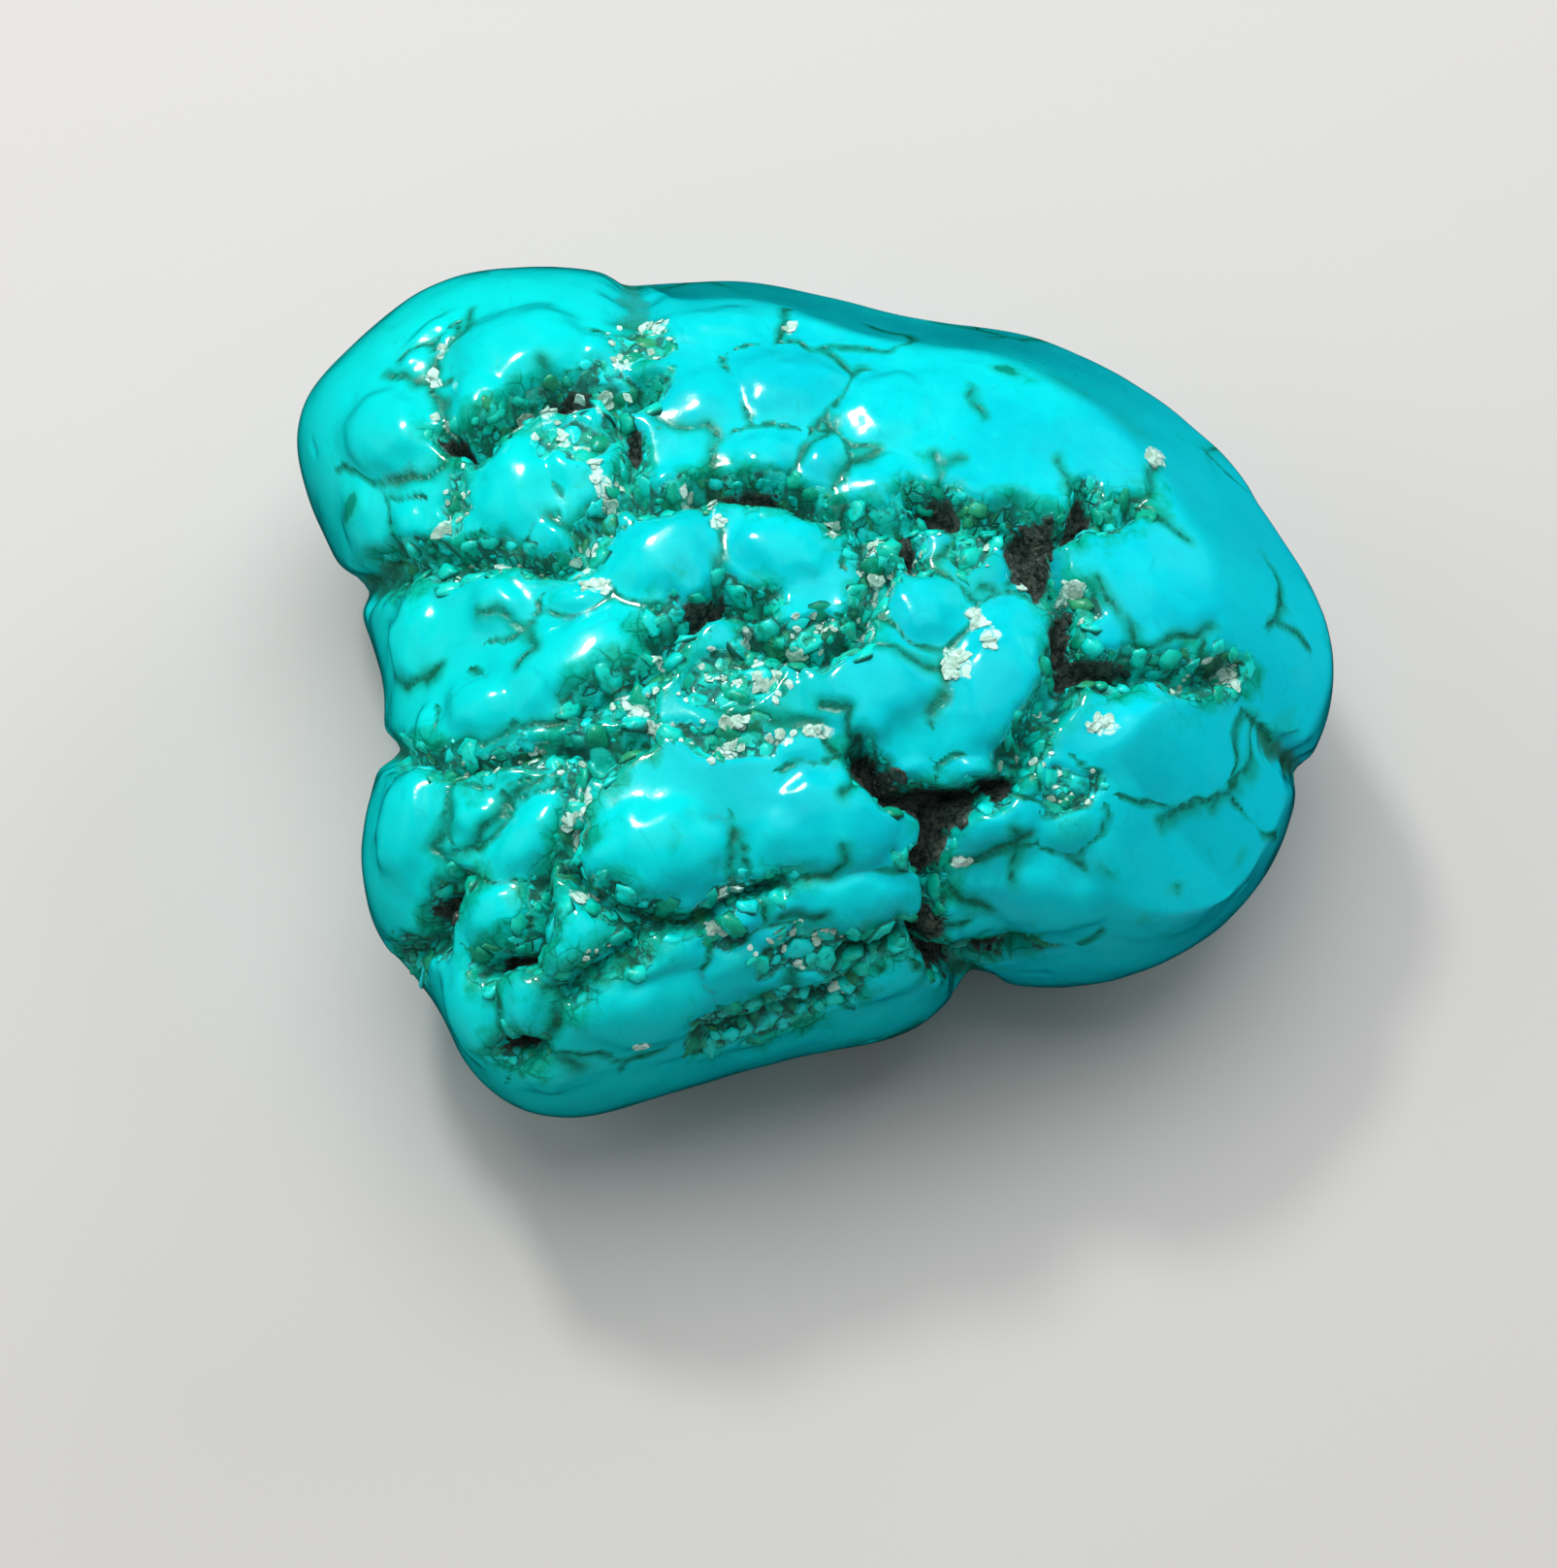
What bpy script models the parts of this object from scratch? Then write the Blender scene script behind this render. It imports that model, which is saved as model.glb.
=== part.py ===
"""Raw turquoise nugget: one tumbled stone of fused round lumps, with deep gaps and a worn flat underside.

The stone is a smooth skin, an uneven outline with a rounded section, pressed in between lumps.
Lumps and gaps are laid out on a plane tipped towards the front, across and up, and dropped on the skin.
Sizes are in millimetres, and the finished mesh is scaled to metres.
"""
from math import cos, pi, radians, sin, tan

import bmesh
import bpy
import numpy as np
from mathutils import Vector, noise

NAME = "nugget"
MM = 0.001

# The skin: its rim outline seen from above, and its section from the rim up and down.
OUTLINE_RADII = (
    21.2, 21.2, 20.4, 20.3, 20.2, 19.8, 19.5, 18.6, 18.4,   # right side, from +X towards the back
    19.2, 20.4, 20.6, 23.4, 25.9, 25.4, 26.0, 20.8, 18.2,   # back, and the lobe at the back left
    17.2, 17.2, 19.2, 20.2, 19.2, 21.0, 20.8, 17.4, 15.6,   # left side, with two lobes, and the foot
    14.6, 14.4, 14.2, 12.6, 15.4, 17.4, 18.9, 19.7, 19.6,   # front, to the right side
)
OUTLINE_SHARPNESS = 90.0
RIM_HEIGHT = 8.0
CROWN = 9.2
KEEL = 9.3
SECTION_SQUARENESS = 2.3
STONE_MIDDLE = (0.0, 0.0, 9.0)

# The worn bevel round the back and right of the top.
BEVEL_DROP = 1.3
BEVEL_SLOPE = radians(46)
BEVEL_MIDDLE = radians(40)
BEVEL_REACH = radians(70)
BEVEL_ROUNDING = 0.25

# The layout plane: across is +X, and up leans back from the vertical by this angle.
LAYOUT_LEAN = radians(60)

# Lumps: how deep the gaps between them are, how far into the stone a lump reaches, how strongly its
# middle is drawn outwards, how square a wide lump's edge is, and how the lumps wander.
GAP_DEPTH = 1.5
LUMP_DEPTH_REACH = 1.5
OUTWARD_PULL = 0.05
FOOT = 1.15
ROUND_EDGE = 2.2
SQUARE_EDGE_PER_MM = 0.45
WANDER = 0.5
WANDER_SIZE = 3.5
WANDER_SEED = 3
GAP_FADE = 0.35

# Lumps on the seen side: across, up, half length, half breadth, turn in degrees, rise above the skin.
FRONT_LUMPS = (
    # lobe at the back left
    (-11.8, 13.9, 3.1, 2.4, 10, 0.6),
    (-13.3, 12.0, 1.7, 2.0, 0, 0.5),
    (-8.9, 13.6, 0.9, 1.2, 0, 0.1),
    (-17.3, 10.2, 2.6, 2.2, 0, 0.4),
    (-18.2, 6.9, 2.3, 1.5, -55, 0.1),
    (-16.1, 6.4, 0.9, 1.5, 0, 0.1),
    (-16.1, 7.9, 1.2, 0.6, 5, -0.2),
    (-16.2, 13.4, 1.2, 0.8, 35, 0.0),
    (-15.5, 14.9, 2.2, 0.7, 38, 0.0),
    (-11.8, 8.0, 1.9, 2.9, -8, 0.3),
    (-9.7, 9.2, 1.7, 1.4, 0, 0.1),
    (-10.2, 6.3, 1.4, 1.0, 0, 0.0),
    # back ridge
    (-7.3, 14.3, 1.0, 0.9, 0, -0.2),
    (-6.6, 10.0, 0.7, 1.0, 0, -0.2),
    (-5.6, 8.3, 1.4, 0.9, 15, 0.0),
    (-7.6, 6.7, 0.9, 0.7, 10, -0.2),
    (-3.9, 14.9, 3.3, 1.3, 4, 0.1),
    (1.5, 14.6, 3.5, 1.2, -8, 0.0),
    (-4.3, 11.8, 2.1, 1.7, 10, 0.1),
    (-1.2, 12.3, 2.9, 1.9, 0, 0.2),
    (-2.1, 9.4, 1.9, 1.4, 5, 0.2),
    (0.6, 9.3, 1.2, 1.3, 0, 0.1),
    (3.0, 11.2, 2.7, 2.3, -10, 0.2),
    (2.8, 8.1, 1.9, 1.5, -10, 0.1),
    # broad right side of the top
    (10.0, 8.9, 10.5, 5.6, -30, 0.1),
    (14.7, 5.3, 4.4, 4.2, 0, 0.2),
    (18.0, 0.9, 2.0, 2.6, 0, 0.0),
    # middle of the top
    (-5.8, 5.2, 2.7, 1.8, 32, 0.3),
    (-1.2, 5.6, 2.4, 2.0, -5, 0.3),
    (2.2, 5.3, 1.1, 1.2, 0, -0.1),
    (5.9, 5.0, 1.5, 1.7, 0, -0.1),
    (4.3, 3.3, 1.9, 1.7, -40, 0.2),
    (1.9, 0.4, 2.9, 2.7, 20, 0.4),
    (7.0, 0.3, 2.4, 3.6, -18, 0.4),
    (5.8, -3.0, 1.2, 0.9, 0, 0.1),
    (-1.0, 2.7, 1.3, 0.7, 12, -0.4),
    (-4.9, 1.9, 1.2, 0.8, 10, -0.1),
    (-3.0, 0.4, 2.0, 1.0, 0, -0.3),
    (-4.6, -1.4, 2.2, 0.9, 0, -0.2),
    (-0.8, -2.0, 1.5, 0.8, 0, -0.2),
    # second lobe on the left, with the long lump behind it
    (-15.9, 2.3, 1.5, 2.6, 0, 0.3),
    (-9.6, 1.2, 4.3, 2.0, 22, 0.4),
    (-12.9, -0.5, 2.1, 1.4, 0, 0.4),
    (-12.1, 3.2, 1.6, 1.4, 10, 0.2),
    (-9.2, 3.6, 1.5, 0.8, 8, 0.1),
    (-8.5, -1.9, 0.8, 0.8, 0, -0.1),
    (-7.0, -1.1, 1.1, 0.7, 20, -0.1),
    (-11.2, -2.8, 2.0, 0.7, 14, -0.2),
    (-9.2, -3.6, 0.9, 0.9, 0, -0.3),
    # third lobe on the left
    (-15.6, -5.2, 1.9, 3.1, 0, 0.3),
    (-12.8, -4.6, 1.1, 1.1, 20, 0.1),
    (-11.0, -5.5, 2.4, 1.4, 42, 0.3),
    (-11.9, -8.4, 1.7, 1.6, 0, 0.3),
    (-8.9, -9.4, 1.6, 2.0, -25, 0.3),
    # foot at the front left
    (-13.2, -12.2, 1.6, 2.6, 15, 0.2),
    (-10.7, -11.8, 1.4, 1.3, 0, 0.1),
    (-9.6, -14.4, 2.3, 1.0, 5, 0.1),
    # front flank
    (-5.4, -10.1, 1.8, 1.1, 5, 0.1),
    (-6.2, -12.0, 3.6, 1.9, 8, 0.3),
    (-2.6, -10.6, 2.2, 1.4, 15, 0.1),
    (-3.0, -13.2, 4.2, 1.1, 12, 0.0),
    (0.2, -10.3, 1.2, 0.9, 20, -0.1),
    (3.0, -11.3, 2.3, 1.0, 12, 0.0),
    (-5.6, -5.8, 3.1, 2.5, 0, 0.5),
    (0.6, -5.0, 3.3, 2.4, -8, 0.4),
    (1.2, -8.0, 3.4, 1.6, 4, 0.2),
    (-2.7, -8.6, 1.4, 0.9, 10, 0.1),
    # right front
    (13.4, -1.9, 3.6, 2.4, 0, 0.4),
    (9.2, -3.4, 1.4, 1.1, 0, -0.2),
    (6.8, -5.2, 2.1, 1.2, 5, 0.2),
    (8.6, -8.2, 3.6, 2.0, 0, 0.3),
    (10.0, -5.4, 1.4, 1.2, 0, 0.0),
    (14.0, -6.9, 4.6, 3.4, 20, 0.2),
    (17.3, -3.3, 1.5, 2.8, 10, 0.1),
)

# Gaps on the seen side: half width, depth, then the points of its line, across and up.
FRONT_GAPS = (
    # round the lobe at the back left
    (0.8, 1.2, ((-14.7, 10.2), (-13.1, 10.6), (-10.6, 11.8), (-8.4, 12.1), (-6.5, 12.2))),
    (0.7, 0.9, ((-7.7, 10.7), (-6.9, 9.9), (-7.3, 8.5), (-5.7, 7.1), (-4.8, 7.8))),
    (1.0, 1.3, ((-19.4, 3.8), (-16.3, 4.9), (-13.7, 5.0), (-10.2, 4.9), (-9.2, 5.5), (-8.4, 7.1))),
    (1.2, 0.9, ((-7.4, 17.5), (-7.4, 14.8))),
    # slot and pits behind the middle
    (0.9, 1.3, ((-4.8, 7.8), (-2.6, 8.0), (-1.0, 8.1), (0.1, 7.5))),
    (0.7, 1.0, ((1.1, 6.8), (2.3, 6.2), (3.6, 6.5), (6.4, 7.0), (7.3, 6.9))),
    (1.5, 1.5, ((7.3, 6.9), (8.4, 6.3), (8.7, 5.0), (9.0, 3.9))),
    (0.9, 1.3, ((8.4, 6.3), (10.4, 6.6), (10.8, 7.4))),
    # long channel through the right half
    (1.2, 1.6, ((9.0, 3.9), (9.8, 2.6), (9.4, 1.0), (9.2, 0.0), (8.2, -1.3), (6.8, -3.5), (5.0, -4.1))),
    (1.0, 1.5, ((1.6, -2.2), (2.4, -2.9), (3.2, -3.8), (5.0, -4.1))),
    (1.0, 1.6, ((4.7, -4.1), (4.5, -6.4), (4.9, -7.3), (4.2, -9.2), (5.0, -10.1), (7.8, -10.2))),
    (1.2, 1.2, ((5.4, -10.2), (7.2, -13.0))),
    (1.2, 0.9, ((17.6, -1.6), (19.4, -3.4))),
    (0.9, 1.4, ((9.7, 1.2), (12.3, 1.1), (14.8, 0.5), (16.1, 0.8))),
    # under the middle lumps
    (0.9, 1.3, ((-5.7, 2.2), (-4.6, 3.2), (-3.9, 4.0), (-2.0, 3.4))),
    (0.7, 1.1, ((-1.2, 1.8), (-0.1, 1.6), (1.7, 2.8), (2.9, 4.7))),
    (0.6, 0.8, ((-8.6, -0.9), (-6.9, 0.6), (-5.7, 1.6), (-5.1, 2.5))),
    # left side
    (0.8, 1.1, ((-17.8, -2.4), (-14.0, -2.5), (-10.9, -2.2), (-9.1, -2.3), (-8.2, -3.0), (-6.4, -1.9))),
    (1.1, 1.5, ((-13.6, -7.3), (-14.6, -8.7), (-16.4, -10.4))),
    (0.7, 0.9, ((-9.4, -5.9), (-9.9, -7.0), (-10.4, -9.1), (-10.9, -10.2), (-12.4, -10.5))),
    # front
    (0.7, 1.1, ((-8.9, -6.9), (-7.5, -7.8), (-6.2, -8.7), (-4.2, -8.5), (-2.9, -7.4), (-1.5, -7.2))),
    (0.7, 0.9, ((-6.2, -9.0), (-7.7, -9.9), (-9.0, -11.3), (-9.6, -12.8))),
    (0.9, 1.2, ((-11.4, -13.3), (-10.3, -13.2))),
    (0.7, 0.9, ((-3.8, -13.4), (-1.3, -12.4), (0.6, -11.4), (0.9, -10.1), (2.8, -9.6), (4.2, -9.2))),
)

# Lumps on the hidden side, spread evenly over the skin and jittered.
BACK_LUMP_COUNT = 90
BACK_LUMP_HALF_LENGTH = (2.0, 3.4)
BACK_LUMP_HALF_BREADTH = (1.5, 2.4)
BACK_LUMP_RISE = (-0.2, 0.4)
BACK_GAP_DEPTH = 0.8
BELT = 0.45
BELT_SINK = 0.5
BACK_SEED = 11

# Mesh: a ball of 80 faces, each edge cut into eleven.
BALL_SUBDIVISIONS = 2
BALL_CUTS = 10
EASING = 0.25

COLOUR = (0.0, 0.55, 0.66, 1.0)
ROUGHNESS = 0.22
METALLIC = 0.0


def layout_axes():
    """Across, up and out of the layout plane, as rows."""
    across = (1.0, 0.0, 0.0)
    up = (0.0, sin(LAYOUT_LEAN), cos(LAYOUT_LEAN))
    out = (0.0, -cos(LAYOUT_LEAN), sin(LAYOUT_LEAN))
    return np.array((across, up, out))


def outline_radius(angle):
    """Rim radius at an angle from +X, eased between the listed radii."""
    radii = np.array(OUTLINE_RADII)
    stations = np.arange(len(radii)) * 2 * pi / len(radii)
    weight = np.exp(OUTLINE_SHARPNESS * np.cos(angle[:, None] - stations))
    return (weight * radii).sum(axis=1) / weight.sum(axis=1)


def skin_points(directions):
    """Where rays in these unit directions leave the smooth skin."""
    angle = np.arctan2(directions[:, 1], directions[:, 0])
    level = np.hypot(directions[:, 0], directions[:, 1])
    steep = directions[:, 2]
    square = SECTION_SQUARENESS
    reach = (level**square + np.abs(steep) ** square) ** (-1 / square)
    radius = outline_radius(angle) * level * reach
    height = RIM_HEIGHT + np.where(steep > 0, CROWN, KEEL) * steep * reach
    return np.stack((radius * np.cos(angle), radius * np.sin(angle), height), axis=1)


def to_layout(points):
    """Across, up and out of each point from the stone's middle."""
    return (points - np.array(STONE_MIDDLE)) @ layout_axes().T


def wander(points):
    """Shift each point a little, so that lumps and gaps get uneven edges."""
    noise.seed_set(WANDER_SEED)
    shift = [noise.noise_vector(Vector(point) / WANDER_SIZE) for point in points]
    return points + WANDER * np.array(shift)


def dome(offset, axes, half_sizes, rise, gap):
    """Height of one lump above the skin: a flattened dome that starts at the bottom of the gaps."""
    spread = np.sqrt((((offset @ axes.T) / (half_sizes * FOOT)) ** 2).sum(axis=1))
    edge = ROUND_EDGE + SQUARE_EDGE_PER_MM * min(half_sizes[:2])
    profile = np.clip(1 - spread**edge, 0, None)
    return -gap + (gap + rise) * profile


def front_height(points):
    """Highest lump of the seen side at each point."""
    layout = to_layout(points)
    height = np.full(len(points), -GAP_DEPTH)
    for across, up, half_length, half_breadth, turn, rise in FRONT_LUMPS:
        away = np.hypot(layout[:, 0] - across, layout[:, 1] - up)
        under = layout[np.argmin(away**2 - OUTWARD_PULL * layout[:, 2]), 2]
        slant = radians(turn)
        axes = np.array(((cos(slant), sin(slant), 0), (-sin(slant), cos(slant), 0), (0, 0, 1)))
        depth = LUMP_DEPTH_REACH * (half_length * half_breadth) ** 0.5
        sizes = np.array((half_length, half_breadth, depth))
        height = np.maximum(height, dome(layout - (across, up, under), axes, sizes, rise, GAP_DEPTH))
    return height


def back_height(points, normals):
    """Highest lump of the hidden side at each point, from lumps spread evenly round the skin."""
    chance = np.random.default_rng(BACK_SEED)
    order = np.arange(BACK_LUMP_COUNT) + 0.5
    steep = 1 - 2 * order / BACK_LUMP_COUNT
    angle = order * pi * (3 - 5**0.5)
    level = np.sqrt(1 - steep**2)
    centres = skin_points(np.stack((level * np.cos(angle), level * np.sin(angle), steep), axis=1))
    out = layout_axes()[2]
    seen = np.clip(1 + normals @ out / BELT, 0, 1)
    height = -BACK_GAP_DEPTH - (GAP_DEPTH - BACK_GAP_DEPTH) * seen
    for centre in centres:
        half_length = chance.uniform(*BACK_LUMP_HALF_LENGTH)
        half_breadth = chance.uniform(*BACK_LUMP_HALF_BREADTH)
        turn = chance.uniform(0, pi)
        rise = chance.uniform(*BACK_LUMP_RISE)
        nearest = np.argmin(((points - centre) ** 2).sum(axis=1))
        normal = normals[nearest]
        if seen[nearest] == 1:
            continue
        side = np.cross(normal, out)
        side /= np.linalg.norm(side)
        other = np.cross(normal, side)
        along = cos(turn) * side + sin(turn) * other
        axes = np.array((along, np.cross(normal, along), normal))
        sizes = np.array((half_length, half_breadth, half_length))
        rise -= BELT_SINK * seen[nearest]
        height = np.maximum(height, dome(points - centre, axes, sizes, rise, BACK_GAP_DEPTH))
    return height


def distance_to_line(flat, line):
    """Distance of each point of a plane from a line of straight stretches."""
    nearest = np.full(len(flat), np.inf)
    for start, end in zip(np.array(line[:-1]), np.array(line[1:])):
        stretch = end - start
        share = np.clip((flat - start) @ stretch / (stretch @ stretch), 0, 1)
        gap = flat - start - share[:, None] * stretch
        nearest = np.minimum(nearest, np.hypot(gap[:, 0], gap[:, 1]))
    return nearest


def gap_depth(points, normals):
    """How deep the gaps of the seen side cut in at each point."""
    flat = to_layout(points)[:, :2]
    facing = np.clip(1 + (normals @ layout_axes()[2]) / GAP_FADE, 0, 1)
    depth = np.zeros(len(points))
    for half_width, deepest, line in FRONT_GAPS:
        near = np.clip(1 - distance_to_line(flat, line) / half_width, 0, 1)
        depth = np.maximum(depth, deepest * near**2 * (3 - 2 * near) * facing)
    return depth


def worn(points):
    """Wear the back and right edge of the top to a bevel, and the underside flat."""
    angle = np.arctan2(points[:, 1], points[:, 0])
    turn = np.abs((angle - BEVEL_MIDDLE + pi) % (2 * pi) - pi)
    inward = outline_radius(angle) - np.hypot(points[:, 0], points[:, 1])
    beyond = np.clip(turn / BEVEL_REACH - 1, 0, None)
    bevel = RIM_HEIGHT + BEVEL_DROP + tan(BEVEL_SLOPE) * inward + CROWN * beyond
    proud = (points[:, 2] - np.maximum(bevel, RIM_HEIGHT)) / BEVEL_ROUNDING
    points[:, 2] -= BEVEL_ROUNDING * np.logaddexp(0, proud)
    points[:, 2] = np.maximum(points[:, 2], 0)
    return points


def ball():
    """A ball of even triangles, for the skin to be drawn from."""
    mesh = bmesh.new()
    bmesh.ops.create_icosphere(mesh, subdivisions=BALL_SUBDIVISIONS, radius=1)
    bmesh.ops.subdivide_edges(mesh, edges=mesh.edges[:], cuts=BALL_CUTS, use_grid_fill=True)
    return mesh


def move_vertices(mesh, points):
    """Put the mesh's vertices at these points and work out its normals."""
    for vertex, point in zip(mesh.verts, points):
        vertex.co = point
    mesh.normal_update()


def nugget_mesh():
    """The whole stone as one closed mesh, in metres."""
    mesh = ball()
    directions = np.array([vertex.co.normalized() for vertex in mesh.verts])
    skin = skin_points(directions)
    move_vertices(mesh, skin)
    normals = np.array([vertex.normal for vertex in mesh.verts])
    wandered = wander(skin)
    height = np.maximum(front_height(wandered), back_height(wandered, normals))
    height -= gap_depth(wandered, normals)
    move_vertices(mesh, skin + normals * height[:, None])
    bmesh.ops.smooth_vert(
        mesh, verts=mesh.verts[:], factor=EASING, use_axis_x=True, use_axis_y=True, use_axis_z=True
    )
    stone = worn(np.array([vertex.co for vertex in mesh.verts]))
    move_vertices(mesh, stone * MM)
    for face in mesh.faces:
        face.smooth = True
    return mesh


def turquoise():
    """Polished blue stone."""
    material = bpy.data.materials.new("turquoise")
    material.use_nodes = True
    shader = material.node_tree.nodes["Principled BSDF"]
    shader.inputs["Base Color"].default_value = COLOUR
    shader.inputs["Roughness"].default_value = ROUGHNESS
    shader.inputs["Metallic"].default_value = METALLIC
    return material


def main():
    for thing in list(bpy.data.objects):
        bpy.data.objects.remove(thing)
    collection = bpy.data.collections.new("raw_turquoise_nugget")
    bpy.context.scene.collection.children.link(collection)
    data = bpy.data.meshes.new(NAME)
    mesh = nugget_mesh()
    mesh.to_mesh(data)
    mesh.free()
    data.materials.append(turquoise())
    collection.objects.link(bpy.data.objects.new(NAME, data))


main()
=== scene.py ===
"""The looks of a raw turquoise nugget: a tumbled stone of fused round lumps, with veins, grit and cream flecks."""

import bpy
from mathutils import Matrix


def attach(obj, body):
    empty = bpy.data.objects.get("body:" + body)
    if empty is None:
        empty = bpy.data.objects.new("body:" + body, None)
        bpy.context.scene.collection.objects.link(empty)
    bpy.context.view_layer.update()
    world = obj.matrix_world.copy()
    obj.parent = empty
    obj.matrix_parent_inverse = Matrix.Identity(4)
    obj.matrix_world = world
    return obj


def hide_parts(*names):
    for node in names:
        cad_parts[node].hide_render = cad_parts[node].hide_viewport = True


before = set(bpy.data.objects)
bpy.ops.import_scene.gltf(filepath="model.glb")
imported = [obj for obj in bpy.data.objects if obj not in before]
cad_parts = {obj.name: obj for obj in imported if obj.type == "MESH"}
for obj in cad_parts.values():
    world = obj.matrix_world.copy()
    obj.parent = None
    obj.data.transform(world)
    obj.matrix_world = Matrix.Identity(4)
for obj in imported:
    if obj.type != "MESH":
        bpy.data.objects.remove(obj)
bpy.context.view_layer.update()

from math import cos, pi, radians, sin, tan

import bmesh
import bpy
import numpy as np
from mathutils import Matrix, Vector, noise

MM = 0.001

# The skin: its rim outline seen from above, and its section from the rim up and down, in millimetres.
OUTLINE_RADII = (
    21.2, 21.2, 20.4, 20.3, 20.2, 19.8, 19.5, 18.6, 18.4,   # right side, from +X towards the back
    19.2, 20.4, 20.6, 23.4, 25.9, 25.4, 26.0, 20.8, 18.2,   # back, and the lobe at the back left
    17.2, 17.2, 19.2, 20.2, 19.2, 21.0, 20.8, 17.4, 15.6,   # left side, with two lobes, and the foot
    14.6, 14.4, 14.2, 12.6, 15.4, 17.4, 18.9, 19.7, 19.6,   # front, to the right side
)
OUTLINE_SHARPNESS = 90.0
RIM_HEIGHT = 8.0
CROWN = 9.2
KEEL = 9.3
SECTION_SQUARENESS = 2.3
STONE_MIDDLE = (0.0, 0.0, 9.0)

# The worn bevel round the back and right of the top.
BEVEL_DROP = 1.3
BEVEL_SLOPE = radians(46)
BEVEL_MIDDLE = radians(40)
BEVEL_REACH = radians(70)
BEVEL_ROUNDING = 0.12

# The layout plane: across is +X, up leans back from the vertical by this angle, and out faces the camera.
LAYOUT_LEAN = radians(60)
LAYOUT_OUT = (0.0, -cos(LAYOUT_LEAN), sin(LAYOUT_LEAN))
LAYOUT_AXES = np.array(((1.0, 0.0, 0.0), (0.0, sin(LAYOUT_LEAN), cos(LAYOUT_LEAN)), LAYOUT_OUT))

# Lumps: how deep the gaps between them are, how square a wide lump's edge is, and how they wander.
GAP_DEPTH = 1.5
NO_LUMP = -9.0
LUMP_DEPTH_REACH = 1.5
FOOT = 1.15
ROUND_EDGE = 2.2
SQUARE_EDGE_PER_MM = 0.45
WANDER = 0.5
WANDER_SIZE = 3.5
WANDER_SEED = 3
FINE_WANDER = 0.28
FINE_WANDER_SIZE = 0.9
GAP_FADE = 0.35
MOSTLY_FACING = 0.5

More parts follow.
